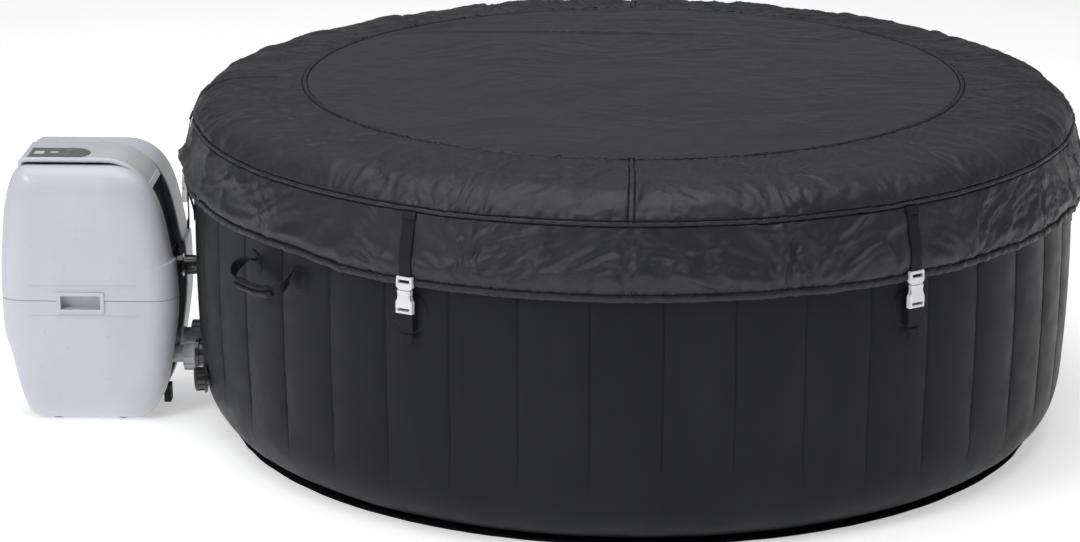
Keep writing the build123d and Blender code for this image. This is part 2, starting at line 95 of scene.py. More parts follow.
def joinPieces(pieces, name):
    bpy.ops.object.select_all(action="DESELECT")
    for piece in pieces:
        piece.select_set(True)
    bpy.context.view_layer.objects.active = pieces[0]
    bpy.ops.object.join()
    pieces[0].name = name
    pieces[0].data.name = name
    return pieces[0]


def mergeDoubles(piece, distance=0.00005):
    # joins points that share a place and turns every face outwards
    work = bmesh.new()
    work.from_mesh(piece.data)
    bmesh.ops.remove_doubles(work, verts=work.verts, dist=distance)
    bmesh.ops.recalc_face_normals(work, faces=work.faces)
    work.to_mesh(piece.data)
    work.free()
    return piece


def smoothLine(points, count):
    # a Catmull-Rom curve through the points, sampled at equal steps of its own length
    p = np.array(points, dtype=float)
    p = np.vstack([2 * p[0] - p[1], p, 2 * p[-1] - p[-2]])
    t = np.linspace(0, 1, 60, endpoint=False)[:, None]
    runs = []
    for a, b, c, d in zip(p[:-3], p[1:-2], p[2:-1], p[3:]):
        runs.append(0.5 * (2 * b + (c - a) * t + (2 * a - 5 * b + 4 * c - d) * t ** 2
                           + (3 * b - a - 3 * c + d) * t ** 3))
    line = np.vstack(runs + [p[-2][None]])
    step = np.linalg.norm(np.diff(line, axis=0), axis=1)
    length = np.concatenate([[0], np.cumsum(step)])
    places = np.linspace(0, length[-1], count)
    return np.stack([np.interp(places, length, line[:, k]) for k in range(line.shape[1])], -1), length[-1]


def sweepPiece(name, path, section, side):
    # carries a closed section (width, thickness) along a path; side fixes the width direction
    tangent = np.gradient(path, axis=0)
    tangent /= np.linalg.norm(tangent, axis=1)[:, None]
    side = np.broadcast_to(side, path.shape)
    wide = side - (side * tangent).sum(1)[:, None] * tangent
    wide /= np.linalg.norm(wide, axis=1)[:, None]
    thick = np.cross(tangent, wide)
    if section.ndim == 2:
        section = np.broadcast_to(section, (len(path),) + section.shape)
    points = path[:, None] + wide[:, None] * section[..., :1] + thick[:, None] * section[..., 1:]
    # both ends are drawn in to their middle
    first = points[:1].mean(1, keepdims=True) + 0 * points[:1]
    last = points[-1:].mean(1, keepdims=True) + 0 * points[-1:]
    points = np.concatenate([first, points, last])
    along = np.concatenate([[0], np.cumsum(np.linalg.norm(np.diff(points.mean(1), axis=0), axis=1))])
    around = np.linspace(0, 1, section.shape[1], endpoint=False) * 0.06
    uv = np.stack(np.meshgrid(around, along), -1)
    return mergeDoubles(gridPiece(name, points, uv, around=True))


def roundedBar(width, thickness, count=28, power=5):
    # a superellipse section: flat sides with rounded corners
    a = np.linspace(0, 2 * np.pi, count, endpoint=False)
    c, s = np.cos(a), np.sin(a)
    return np.stack([width / 2 * np.sign(c) * np.abs(c) ** (2 / power),
                     thickness / 2 * np.sign(s) * np.abs(s) ** (2 / power)], -1)


def turned(r, theta, z):
    # a radius, a turn from the front and a height as a place in the frame
    return np.stack([r * np.sin(theta), -r * np.cos(theta), z], -1)


def roundPlace(theta, spread, height):
    # a place on a cylinder, so that noise looked up there meets itself after one turn
    return np.stack([np.cos(theta) * spread, np.sin(theta) * spread, height], -1)


def atAngle(degrees, across, out, up):
    # distances along the wall, away from the axis and up, turned to an angle round the tub
    a = math.radians(degrees)
    radial = np.array([math.sin(a), -math.cos(a), 0])
    sideways = np.array([math.cos(a), math.sin(a), 0])
    across, out, up = np.broadcast_arrays(across, out, up)
    return out[..., None] * radial + across[..., None] * sideways + up[..., None] * np.array([0, 0, 1.0])


def latticeRandom(spot, seed):
    # three numbers from 0 to 1023 for each lattice point, mixed from its place and the seed
    mix = spot[..., 0] * 374761393 + spot[..., 1] * 668265263 + spot[..., 2] * 1442695041 + seed * 97531
    mix = mix & 0xFFFFFFFF
    mix = ((mix ^ (mix >> 13)) * 1274126177) & 0xFFFFFFFF
    mix ^= mix >> 16
    return np.stack([mix & 1023, (mix >> 10) & 1023, (mix >> 20) & 1023], -1)


def softNoise(points, seed):
    # gradient noise: random slopes on a unit lattice, blended with a fifth-power fade
    cell = np.floor(points).astype(np.int64)
    part = points - cell
    fade = part ** 3 * (part * (part * 6 - 15) + 10)
    total = np.zeros(points.shape[:-1])
    for corner in range(8):
        step = np.array([(corner >> k) & 1 for k in range(3)])
        slopes = latticeRandom(cell + step, seed) / 511.5 - 1
        weight = np.prod(np.where(step == 1, fade, 1 - fade), axis=-1)
        total += weight * (slopes * (part - step)).sum(-1)
    return total * 1.5


def facets(points, seed):
    # squared distance to the nearest of some scattered points: cells that meet in sharp straight ridges
    cell = np.floor(points).astype(np.int64)
    nearest = np.full(points.shape[:-1], 9.0)
    for corner in range(27):
        spot = cell + np.array([corner % 3 - 1, corner // 3 % 3 - 1, corner // 9 - 1])
        scatter = latticeRandom(spot, seed) / 1023
        nearest = np.minimum(nearest, ((points - spot - scatter) ** 2).sum(-1))
    return nearest - 0.25


def ridges(noise, sharp=0.05):
    # 1 less three times the root of noise squared plus sharp squared: thin lines where noise crosses zero
    return 1 - np.sqrt(noise ** 2 + sharp ** 2) * 3


def ease(x, low, high):
    # 0 below low, 1 above high, and three t squared less two t cubed between them
    t = np.clip((x - low) / (high - low), 0, 1)
    return t * t * (3 - 2 * t)


def bell(x, width):
    # e to the power of minus the square of x over width
    return np.exp(-(x / width) ** 2)


def newMaterial(name):
    material = bpy.data.materials.new(name)
    material.use_nodes = True
    nodes = material.node_tree.nodes
    return material, nodes, material.node_tree.links, nodes["Principled BSDF"]


def setInputs(node, values):
    for key, value in values.items():
        node.inputs[key].default_value = value


def addNode(nodes, kind, values=None):
    node = nodes.new(kind)
    setInputs(node, values or {})
    return node


def noiseNode(nodes, links, source, scale, detail=3.0, rough=0.5, stretch=None):
    # fractal noise at the source's place, which may be stretched first
    if stretch is not None:
        mapping = addNode(nodes, "ShaderNodeMapping", {"Scale": stretch})
        links.new(source, mapping.inputs["Vector"])
        source = mapping.outputs["Vector"]
    node = addNode(nodes, "ShaderNodeTexNoise", {"Scale": scale, "Detail": detail, "Roughness": rough})
    links.new(source, node.inputs["Vector"])
    return node.outputs["Fac"]


def colourRamp(nodes, links, source, low, colour, high, paler):
    # one colour up to low, the other from high, and a straight blend between
    ramp = addNode(nodes, "ShaderNodeValToRGB")
    for element, place, tone in zip(ramp.color_ramp.elements, (low, high), (colour, paler)):
        element.position = place
        element.color = (*tone, 1)
    links.new(source, ramp.inputs["Fac"])
    return ramp.outputs["Color"]


def rangeNode(nodes, links, source, low, high, fromLow=0.3, fromHigh=0.7):
    # the source's span fromLow to fromHigh, stretched to low to high
    limits = {"From Min": fromLow, "From Max": fromHigh, "To Min": low, "To Max": high}
    node = addNode(nodes, "ShaderNodeMapRange", limits)
    links.new(source, node.inputs["Value"])
    return node.outputs["Result"]


def bumpNode(nodes, links, height, strength, distance, before=None):
    # tilts the normal by the slope of the height, over the bump before it
    node = addNode(nodes, "ShaderNodeBump", {"Strength": strength, "Distance": distance})
    links.new(height, node.inputs["Height"])
    if before is not None:
        links.new(before, node.inputs["Normal"])
    return node.outputs["Normal"]


def timesNode(nodes, links, first, second):
    node = addNode(nodes, "ShaderNodeMath")
    node.operation = "MULTIPLY"
    links.new(first, node.inputs[0])
    links.new(second, node.inputs[1])
    return node.outputs["Value"]


def voronoiNode(nodes, links, source, feature, scale):
    node = addNode(nodes, "ShaderNodeTexVoronoi")
    node.feature = feature
    setInputs(node, {"Scale": scale})
    links.new(source, node.inputs["Vector"])
    return node.outputs["Distance"]


def startMaterial(name):
    # a new material and the place on the object that its textures are looked up at
    material, nodes, links, shader = newMaterial(name)
    place = addNode(nodes, "ShaderNodeTexCoord").outputs["Object"]
    return material, nodes, links, shader, place


def varyRoughness(nodes, links, shader, place, scale, detail, rough):
    patches = noiseNode(nodes, links, place, scale, detail)
    links.new(rangeNode(nodes, links, patches, *rough), shader.inputs["Roughness"])


def mouldedPlastic(name, colour, darker, rough, grain=1400, grainDepth=0.00003, coat=0.0, metallic=0.0):
    # moulded plastic: fine spark grain, slow colour drift and slow change of gloss
    material, nodes, links, shader, place = startMaterial(name)
    drift = noiseNode(nodes, links, place, 9, 4)
    links.new(colourRamp(nodes, links, drift, 0.3, darker, 0.7, colour), shader.inputs["Base Color"])
    varyRoughness(nodes, links, shader, place, 45, 5, rough)
    fine = noiseNode(nodes, links, place, grain, 2)
    links.new(bumpNode(nodes, links, fine, 0.35, grainDepth), shader.inputs["Normal"])
    setInputs(shader, {"Coat Weight": coat, "Coat Roughness": 0.2, "Metallic": metallic})
    return material


def vinylSkin(name, colour, paler, rough=(0.36, 0.5)):
    # calendered vinyl: pebble grain, faint upright streaks and shallow waves
    material, nodes, links, shader, place = startMaterial(name)
    streak = noiseNode(nodes, links, place, 6, 5, 0.6, (1, 1, 0.35))
    links.new(colourRamp(nodes, links, streak, 0.35, colour, 0.72, paler), shader.inputs["Base Color"])
    varyRoughness(nodes, links, shader, place, 22, 6, rough)
    pebble = voronoiNode(nodes, links, place, "SMOOTH_F1", 750)
    grain = bumpNode(nodes, links, pebble, 0.25, 0.0001)
    sag = noiseNode(nodes, links, place, 16, 3, 0.5)
    links.new(bumpNode(nodes, links, sag, 0.22, 0.002, grain), shader.inputs["Normal"])
    setInputs(shader, {"Specular IOR Level": 0.1})
    return material


def creaseLines(nodes, links, place):
    # sharp creases: the borders of warped cells, raised, and shown only in patches
    warp = addNode(nodes, "ShaderNodeTexNoise", {"Scale": 9, "Detail": 3})
    links.new(place, warp.inputs["Vector"])
    bend = addNode(nodes, "ShaderNodeVectorMath")
    bend.operation = "MULTIPLY_ADD"
    links.new(warp.outputs["Color"], bend.inputs[0])
    bend.inputs[1].default_value = (0.13, 0.13, 0.09)
    links.new(place, bend.inputs[2])
    border = voronoiNode(nodes, links, bend.outputs["Vector"], "DISTANCE_TO_EDGE", 15)
    rise = rangeNode(nodes, links, border, 1, 0, 0.0, 0.2)
    shown = rangeNode(nodes, links, noiseNode(nodes, links, place, 6, 4), 0, 1, 0.46, 0.62)
    return timesNode(nodes, links, rise, shown)


def wovenCloth(name, colour, paler, thread, rough, crumple, shine):
    # coated plain weave: two crossed sets of threads from the panel map, and a soft crumple
    material, nodes, links, shader, place = startMaterial(name)
    panel = addNode(nodes, "ShaderNodeUVMap")
    panel.uv_map = "panel"
    waves = []
    for direction in ("X", "Y"):
        wave = addNode(nodes, "ShaderNodeTexWave", {"Scale": 0.05 * 2 * math.pi / thread, "Distortion": 0.3})
        wave.wave_type = "BANDS"
        wave.bands_direction = direction
        links.new(panel.outputs["UV"], wave.inputs["Vector"])
        waves.append(wave.outputs["Fac"])
    drift = noiseNode(nodes, links, place, 7, 6, 0.62)
    links.new(colourRamp(nodes, links, drift, 0.3, colour, 0.75, paler), shader.inputs["Base Color"])
    varyRoughness(nodes, links, shader, place, 30, 6, rough)
    normal = bumpNode(nodes, links, timesNode(nodes, links, *waves), 0.25, 0.00012)
    if crumple:
        creases = noiseNode(nodes, links, place, 34, 8, 0.66)
        normal = bumpNode(nodes, links, creases, crumple, 0.0030, normal)
        normal = bumpNode(nodes, links, creaseLines(nodes, links, place), crumple, 0.0032, normal)
    links.new(normal, shader.inputs["Normal"])
    setInputs(shader, {"Specular IOR Level": shine, "Sheen Weight": 0.03, "Sheen Roughness": 0.45})
    return material


finishes = {
    "wallVinyl": vinylSkin("wallVinyl", (0.0125, 0.0131, 0.0158), (0.0165, 0.0172, 0.0205)),
    "innerVinyl": vinylSkin("innerVinyl", (0.20, 0.235, 0.26), (0.25, 0.285, 0.31)),
}

cloths = {
    # colour, paler colour, thread width, roughness, crumple, shine
    "coverCloth": ((0.0112, 0.0117, 0.015), (0.017, 0.0176, 0.0225), 0.0011, (0.40, 0.54), 0.5, 0.38),
    "strapWeb": ((0.006, 0.006, 0.0078), (0.0105, 0.0105, 0.013), 0.0021, (0.5, 0.62), 0, 0.2),
    "stitchThread": ((0.005, 0.005, 0.006), (0.008, 0.008, 0.009), 0.0006, (0.6, 0.7), 0, 0.1),
}

plastics = {
    # colour, darker colour, roughness, then grain, its depth, coat and metal where they differ
    "buckleWhite": ((0.80, 0.80, 0.82), (0.72, 0.72, 0.745), (0.3, 0.4)),
    "shellGrey": ((0.565, 0.59, 0.645), (0.53, 0.553, 0.61), (0.27, 0.34), 1400, 0.00003, 0.12),
    # the shell's light grey darkened: painted shade of the dished spine top, which is moulded in the same
    # plastic as the shell
    "spineGreyPaintedShade": ((0.52, 0.535, 0.555), (0.47, 0.485, 0.505), (0.36, 0.46)),
    "charcoal": ((0.045, 0.046, 0.052), (0.033, 0.034, 0.039), (0.38, 0.5)),
    "lensGrey": ((0.105, 0.108, 0.112), (0.085, 0.088, 0.092), (0.16, 0.24), 300, 0.00003, 0.4),
    "iconPale": ((0.62, 0.63, 0.64), (0.52, 0.53, 0.54), (0.3, 0.4)),
    "buttonGrey": ((0.2, 0.205, 0.21), (0.16, 0.165, 0.17), (0.3, 0.4)),
    "pipeGrey": ((0.47, 0.48, 0.5), (0.4, 0.41, 0.43), (0.26, 0.36), 1400, 0.00003, 0.2),
    "gloss": ((0.022, 0.022, 0.024), (0.014, 0.014, 0.016), (0.12, 0.22), 500, 0.00003, 0.5),
    "darkRubber": ((0.028, 0.028, 0.028), (0.018, 0.018, 0.018), (0.7, 0.85), 700, 0.0001),
    "steel": ((0.55, 0.55, 0.54), (0.48, 0.48, 0.475), (0.25, 0.38), 900, 0.00003, 0.0, 1.0),
    "filterPaper": ((0.8, 0.81, 0.8), (0.7, 0.72, 0.72), (0.8, 0.9), 260, 0.0006),
    "boardGreen": ((0.03, 0.16, 0.07), (0.02, 0.11, 0.05), (0.3, 0.4), 600),
}

for table, makeFinish in ((cloths, wovenCloth), (plastics, mouldedPlastic)):
    for finishName, values in table.items():
        finishes[finishName] = makeFinish(finishName, *values)

slotFinish = {
    "wall_pvc": "wallVinyl", "inner_pvc": "innerVinyl", "cover_cloth": "wallVinyl", "webbing": "wallVinyl",
    # the spine takes the darker grey of painted shade, not a plastic of its own colour
    "buckle_plastic": "buckleWhite", "shell_plastic": "shellGrey", "spine_plastic": "spineGreyPaintedShade",
    "dark_plastic": "charcoal", "lens_plastic": "lensGrey", "display_plastic": "iconPale",
    "fitting_plastic": "pipeGrey", "black_fitting": "gloss", "rubber": "darkRubber", "steel": "steel",
    "filter_paper": "filterPaper", "board": "boardGreen",
}


def dressNodes():
    # every CAD node takes the finish of its slot, and small ones get their own
    own = {"button_up": "buttonGrey", "button_down": "buttonGrey", "feet": "darkRubber"}
    for entry in frame["record"]["subparts"]:
        node = frame["nodes"][entry["node"]]
        finish = finishes[own.get(entry["node"], slotFinish[entry["material_slot"]])]
        node.data.materials.clear()
        node.data.materials.append(finish)


dressNodes()
print("finishes made")


def dress(piece, finish, body, slotName, *nodes):
    # gives a piece its finish and the body it rides on, and hides the nodes it stands in for
    piece.data.materials.clear()
    piece.data.materials.append(finishes[finish])
    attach(piece, body)
    if nodes:
        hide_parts(*nodes)
    return piece


wall = {
    "chambers": 42, "firstWeld": 3.9, "lobe": 0.0050, "weldDepth": 0.0019, "weldWidth": 0.0019,
    "weldPitch": 0.134, "pucker": 0.0011, "radius": 0.896, "inner": 0.6595, "rows": 114, "floorRadius": 0.776,
    # radius and height from the foot, up the outside, over the top ring and down inside
    "line": [(0.776, 0.0035), (0.792, 0.0045), (0.818, 0.0125), (0.846, 0.031), (0.868, 0.06), (0.882, 0.098),
             (0.889, 0.15), (0.894, 0.24), (0.896, 0.34), (0.895, 0.45), (0.892, 0.54), (0.8905, 0.605),
             (0.882, 0.638), (0.862, 0.665), (0.835, 0.6775), (0.80, 0.6795), (0.755, 0.6795), (0.716, 0.677),
             (0.688, 0.662), (0.668, 0.636), (0.661, 0.604), (0.6595, 0.56), (0.6595, 0.535)],
}


def weldPlace(theta):
    # 0 on one weld line, 1 on the next
    return ((np.degrees(theta) - wall["firstWeld"]) * wall["chambers"] / 360) % 1


def lobeDrop(theta, height, low=0.07, high=0.62):
    # how far the skin is drawn in: each chamber is a shallow arc between two welds
    u = weldPlace(theta)
    near = np.minimum(u, 1 - u) * wall["weldPitch"]
    arc = (1 - 4 * u * (1 - u)) ** 1.25
    length = ease(height, low, low + 0.14) * (1 - ease(height, high, high + 0.07) * 0.6)
    pucker = softNoise(roundPlace(theta, 60, height * 70), 5)
    weld = wall["weldDepth"] * bell(near, wall["weldWidth"]) + wall["pucker"] * pucker * bell(near, 0.014)
    return (wall["lobe"] * arc + weld) * length


def wallColumns():
    # turned places close together at each weld and wide apart between
    half = np.array([0.008, 0.018, 0.033, 0.06, 0.11, 0.18, 0.26, 0.34, 0.42])
    share = np.concatenate([[0], half, [0.5], 1 - half[::-1]])
    turns = (np.arange(wall["chambers"])[:, None] + share[None]).reshape(-1) / wall["chambers"]
    return math.radians(wall["firstWeld"]) + 2 * np.pi * turns


def makeOuterSkin():
    # the wall line turned round the axis and drawn in square to itself by the lobes
    line, length = smoothLine(wall["line"], wall["rows"])
    theta = wallColumns()
    slope = np.gradient(line, axis=0)
    slope /= np.linalg.norm(slope, axis=1)[:, None]
    outR, outZ = slope[:, 1], -slope[:, 0]
    t, h = np.meshgrid(theta, line[:, 1])
    ringCrown = ease(line[:, 0], 0.0, 0.62)[:, None]
    drop = lobeDrop(t, h) * ringCrown
    # the plain foot below the welds sags a little where the floor sheet is welded on
    foot = roundPlace(t, 9, h * 14)
    drop = drop + 0.0018 * softNoise(foot, 11) * (1 - ease(h, 0.1, 0.26)) * ease(h, 0.004, 0.03)
    r = line[:, 0][:, None] - outR[:, None] * drop
    z = line[:, 1][:, None] - outZ[:, None] * drop
    uv = np.stack(np.meshgrid(theta * 0.88, np.linspace(0, length, len(line))), -1)
    skin = gridPiece("outerSkin", turned(r, t, z), uv, around=True)
    return dress(skin, "wallVinyl", "tub", "wall_pvc", "outer_wall", "top_ring")


def makeInnerSkin():
    # an upright tube with shallower lobes than the outside
    height = np.linspace(0.535, 0.005, 60)
    theta = np.linspace(0, 2 * np.pi, 504, endpoint=False)
    t, h = np.meshgrid(theta, height)
    r = wall["inner"] + 0.6 * lobeDrop(t, h, 0.02, 0.9)
    skin = gridPiece("innerSkin", turned(r, t, h), np.stack([t * 0.66, h], -1), around=True)
    return dress(skin, "innerVinyl", "tub", "inner_pvc", "inner_wall")


def makeFloorSkin():
    # the floor sheet: almost flat, with slack waves in its middle
    r = np.linspace(0.0, wall["floorRadius"], 70)
    theta = np.linspace(0, 2 * np.pi, 240, endpoint=False)
    t, rr = np.meshgrid(theta, r)
    x, y = rr * np.sin(t), -rr * np.cos(t)
    wave = softNoise(np.stack([x * 6, y * 6, 0 * x], -1), 3) * 0.0012
    top = np.stack([x, y, 0.0034 + np.maximum(wave, -0.001) * (1 - ease(rr, 0.6, 0.64))], -1)
    under = np.stack([x, y, 0 * x], -1)[::-1]
    points = np.concatenate([top, under])
    sheet = mergeDoubles(gridPiece("floorSkin", points, points[..., :2], around=True))
    return dress(sheet, "innerVinyl", "tub", "wall_pvc", "tub_floor")


def makeWeldFlange():
    # thin welded lip that lies on the ground round the foot, a little wavy
    theta = np.linspace(0, 2 * np.pi, 720, endpoint=False)
    across = np.array([0.777, 0.8, 0.82, 0.8275, 0.829, 0.8275, 0.82, 0.8, 0.777])
    level = np.array([0.0026, 0.0024, 0.0022, 0.0021, 0.0012, 0.0002, 0.0001, 0.0001, 0.0001])
    t, r = np.meshgrid(theta, across)
    up = np.broadcast_to(level[:, None], t.shape)
    wave = softNoise(roundPlace(t, 14, 0 * t), 8)
    r = r + 0.003 * wave * ease(r, 0.79, 0.829)
    z = up + 0.0022 * np.maximum(wave, 0) * ease(r, 0.79, 0.829)
    lip = gridPiece("weldFlange", turned(r, t, z), np.stack([t * 0.8, r], -1), around=True, flip=True)
    return dress(lip, "wallVinyl", "tub", "wall_pvc", "base_flange")


def wallRadiusAt(theta, height):
    # the wall line below the top ring, read at a height and drawn in by the lobes
    line, _ = smoothLine(wall["line"], 400)
    lower = line[:190]
    return np.interp(height, lower[:, 1], lower[:, 0]) - lobeDrop(theta, height)


patches = {
    # height, half width and half height
    "buckle": (0.440, 0.0375, 0.0375), "handle": (0.453, 0.028, 0.027), "rise": 0.0016,
}


def makePatches():
    # round and rounded discs welded to the wall behind the buckles and under the handles
    spots = [(a, *patches["buckle"]) for a in straps["angles"]]
    spots += [(a + side * handles["patch"], *patches["handle"]) for a in handles["angles"] for side in (-1, 1)]
    ring = np.linspace(0, 1, 15) ** 0.8
    turn = np.linspace(0, 2 * np.pi, 56, endpoint=False)
    rise = np.where(ring < 0.93, patches["rise"], patches["rise"] * np.sqrt(np.clip((1 - ring) / 0.07, 0, 1)))
    k, a = np.meshgrid(turn, ring)
    parts = []
    for index, (angle, up, wide, high) in enumerate(spots):
        across = a * wide * np.cos(k)
        height = up + a * high * np.sin(k)
        theta = math.radians(angle) + across / wall["radius"]
        lift = rise[:, None] - 0.0006 * bell(a - 0.82, 0.03)
        out = wallRadiusAt(theta, height) + lift
        points = turned(out, theta, height)
        uv = np.stack([across, height], -1)
        parts.append(gridPiece("patch%d" % index, points, uv, around=True))
    piece = mergeDoubles(joinPieces(parts, "wallPatches"))
    return dress(piece, "wallVinyl", "tub", "wall_pvc", "wall_patches")


cover = {
    "columns": 1260, "innerSeam": 0.667, "crown": 0.7135, "rim": 0.698,
    "bandRadius": 0.79, "skirtRadius": 0.9, "quarterRadius": 0.78,
    "bandLine": [(0.667, 0.698), (0.70, 0.6935), (0.74, 0.6895), (0.79, 0.6875), (0.83, 0.6835),
                 (0.862, 0.6705), (0.881, 0.653), (0.8905, 0.636)],
    "skirtLine": [(0.8905, 0.636), (0.9, 0.610), (0.909, 0.572), (0.913, 0.54), (0.9085, 0.506)],
    "seamHalf": 0.0050, "seamDepth": 0.0032, "seamRib": 0.0019, "grooveWidth": 0.0014,
    "quarterSeams": [0, 90, 180, 270], "skirtSeams": [-50, 70, 190],
}

straps = {
    "angles": [-26.6, 34.7, 94, 154, 214, 273.5], "width": 0.025, "thick": 0.0016, "gap": 0.0020,
    "heights": [0.6305, 0.622, 0.61, 0.59, 0.57, 0.55, 0.53, 0.515, 0.505], "end": 0.4985,
    # radius and height of the hanging tail, and of the part sewn to the wall behind it
    "tail": [(0.9094, 0.470), (0.9096, 0.452), (0.910, 0.435),
             (0.9098, 0.415), (0.9102, 0.392), (0.9108, 0.386)],
    "sewn": [(0.8985, 0.404), (0.8988, 0.424), (0.9035, 0.445), (0.9075, 0.460), (0.9092, 0.470)],
}

handles = {
    "angles": [-48.6, 131.4], "half": 0.070, "reach": 0.046, "slope": 26, "patch": 4.6, "level": 0.457,
    "hinge": 0.906, "steps": 140, "webWidth": 0.026, "webThick": 0.0032, "gripWide": 0.0132, "gripHigh": 0.0098,
}


def seamShape(distance):
    # two stitched grooves with a rib standing between them
    grooves = bell(np.abs(distance) - cover["seamHalf"], cover["grooveWidth"]) * cover["seamDepth"]
    rib = cover["seamRib"] * (1 - ease(np.abs(distance), 0.003, 0.007))
    return rib - grooves


def angleGap(theta, degrees):
    # the turn from an angle to theta, between minus half a turn and half a turn
    return (theta - math.radians(degrees) + np.pi) % (2 * np.pi) - np.pi


def strapPress(theta):
    # 0 under a strap, 1 away from all of them
    press = np.ones_like(theta)
    for angle in straps["angles"]:
        press = press * ease(np.abs(angleGap(theta, angle)) * cover["skirtRadius"], 0.014, 0.046)
    return press


drape = {
    "columns": 720, "bandRows": 35, "skirtRows": 23, "frames": 13, "bandSlack": 0.004, "skirtSlack": 0.035,
    "inward": 0.0045, "outward": 0.0105, "bandShare": 0.42, "seamHold": 0.4, "gravity": 0.1, "slide": 0.012,
    "cloth": {"quality": 5, "mass": 0.2, "tension_stiffness": 30, "compression_stiffness": 30,
              "shear_stiffness": 12, "bending_stiffness": 0.05, "tension_damping": 6, "compression_damping": 6,
              "shear_damping": 6, "bending_damping": 0.6, "air_damping": 1.5},
}

creases = {
    # height, cells to the metre each way, seed
    "skirtLarge": (0.015, (8.5, 8.5, 7.0), 101), "skirtMiddle": (0.0105, (18, 18, 15), 102),
    "skirtSmall": (0.0068, (26, 26, 22), 106), "skirtFine": (0.0034, (58, 58, 50), 107),
    "bandLarge": (0.005, (8, 8, 7), 103), "bandMiddle": (0.0045, (21, 21, 13), 104),
    "bandSmall": (0.0046, (26, 26, 20), 105), "bandFine": (0.0022, (60, 60, 48), 110),
    "centre": (0.0022, (5, 9, 1), 53),
}


def crumple(at, name):
    # the named facets, times their height
    height, scale, seed = creases[name]
    return height * facets(at * np.array(scale), seed)


def clothPlace(theta, along, slant):
    # place on the cloth, slid sideways by its drop so that creases lean both ways in turn
    lean = softNoise(roundPlace(theta, 3, 0 * theta), 38)
    slid = theta + along * slant * np.tanh(lean * 9)
    at = roundPlace(slid, 1, along * 1.2)
    wander = np.stack([softNoise(at * 5, 39), softNoise(at * 5, 40), softNoise(at * 5, 46)], -1)
    return at + wander * 0.05


def hemLift(theta):
    # the hem rides up beside the pump
    side = np.degrees((theta + np.pi) % (2 * np.pi) - np.pi)
    return 0.013 * ease(side, -105, -84) * (1 - ease(side, -44, -33))


def skirtFolds(theta, along, length):
    # slack cloth hanging from the seam: folds grow below it and end in the gathered hem
    share = np.clip(along / length, 0, 1)
    at = clothPlace(theta, along, 1.3)
    patch = 0.55 + 0.9 * ease(softNoise(at * 3.5, 47), -0.2, 0.3)
    push = crumple(at, "skirtLarge") + crumple(at, "skirtMiddle")
    hold = ease(share, -0.05, 0.2) * (1 - 0.7 * ease(share, 0.8, 1.0))
    return push * patch * hold * (0.1 + 0.9 * strapPress(theta)) + 0.001 * hold


def bandFolds(theta, along, length):
    # tighter cloth: low dents and short creases, stronger towards the outer seam
    share = np.clip(along / length, 0, 1)
    at = clothPlace(theta, along, 0.8)
    low = 0.3 + 0.7 * ease(share, 0.3, 0.95)
    patch = ease(softNoise(at * 4, 48), -0.15, 0.3)
    push = crumple(at, "bandLarge") + crumple(at, "bandMiddle") * patch
    hold = ease(along, 0.0, 0.03) * (0.2 + 0.8 * ease(length - along, 0.0, 0.02))
    return (push + 0.0006) * low * hold


def coverStart():
    # the joined band and skirt line turned round the axis, smooth and with its first folds
    theta = np.linspace(0, 2 * np.pi, drape["columns"], endpoint=False)
    smooth, start = [], []
    for name, shape in (("band", bandFolds), ("skirt", skirtFolds)):
        count = drape[name + "Rows"]
        line, length = smoothLine(cover[name + "Line"], count)
        t, s = np.meshgrid(theta, np.linspace(0, length, count))
        smooth.append(liftLine(line, t, 0 * t))
        start.append(liftLine(line, t, shape(t, s, length)))
        if name == "skirt":
            rise = hemLift(t) * (s / length) ** 1.5
            smooth[-1][..., 2] += rise
            start[-1][..., 2] += rise
    start[0][-1] = start[1][0]
    return np.vstack([smooth[0], smooth[1][1:]]), np.vstack([start[0], start[1][1:]])


def liftLine(line, theta, push):
    # moves a turned line outwards along its own normal by push
    slope = np.gradient(line, axis=0)
    slope /= np.linalg.norm(slope, axis=1)[:, None]
    r = line[:, 0][:, None] - slope[:, 1][:, None] * push
    z = line[:, 1][:, None] + slope[:, 0][:, None] * push
    return turned(r, theta, z)


def surfaceNormal(points):
    # the direction square to both ways along the grid, facing out
    across = np.roll(points, -1, 1) - np.roll(points, 1, 1)
    normal = np.cross(np.gradient(points, axis=0), across)
    return normal / np.maximum(np.linalg.norm(normal, axis=-1), 1e-12)[..., None]


def letClothSettle(start):
    # cloth with more length than its seams allow, held at the seams, steps until it buckles
    rows, columns = start.shape[:2]
    piece = gridPiece("clothRun", start, around=True, flip=True)
    seam = drape["bandRows"] - 1
    hold = np.zeros((rows, columns))
    hold[0], hold[seam], hold[-1] = 1, drape["seamHold"], 1
    slack = np.zeros((rows, columns))
    slack[seam:] = 1
    for name, weights in (("hold", hold), ("slack", slack)):
        group = piece.vertex_groups.new(name=name)
        for value in np.unique(weights):
            if value > 0:
                group.add(np.flatnonzero(weights.reshape(-1) == value).tolist(), float(value), "REPLACE")
    settings = piece.modifiers.new("settle", "CLOTH").settings
    groups = {"vertex_group_mass": "hold", "vertex_group_shrink": "slack",
              "shrink_min": -drape["bandSlack"], "shrink_max": -drape["skirtSlack"]}
    for key, value in {**drape["cloth"], **groups}.items():
        setattr(settings, key, value)
    settings.effector_weights.gravity = drape["gravity"]
    scene = bpy.context.scene
    for step in range(1, drape["frames"] + 1):
        scene.frame_set(step)
    settled = piece.evaluated_get(bpy.context.evaluated_depsgraph_get())
    place = np.empty(rows * columns * 3, dtype=np.float32)
    settled.data.vertices.foreach_get("co", place)
    scene.frame_set(1)
    bpy.data.objects.remove(piece, do_unlink=True)
    return place.reshape(rows, columns, 3).astype(float)


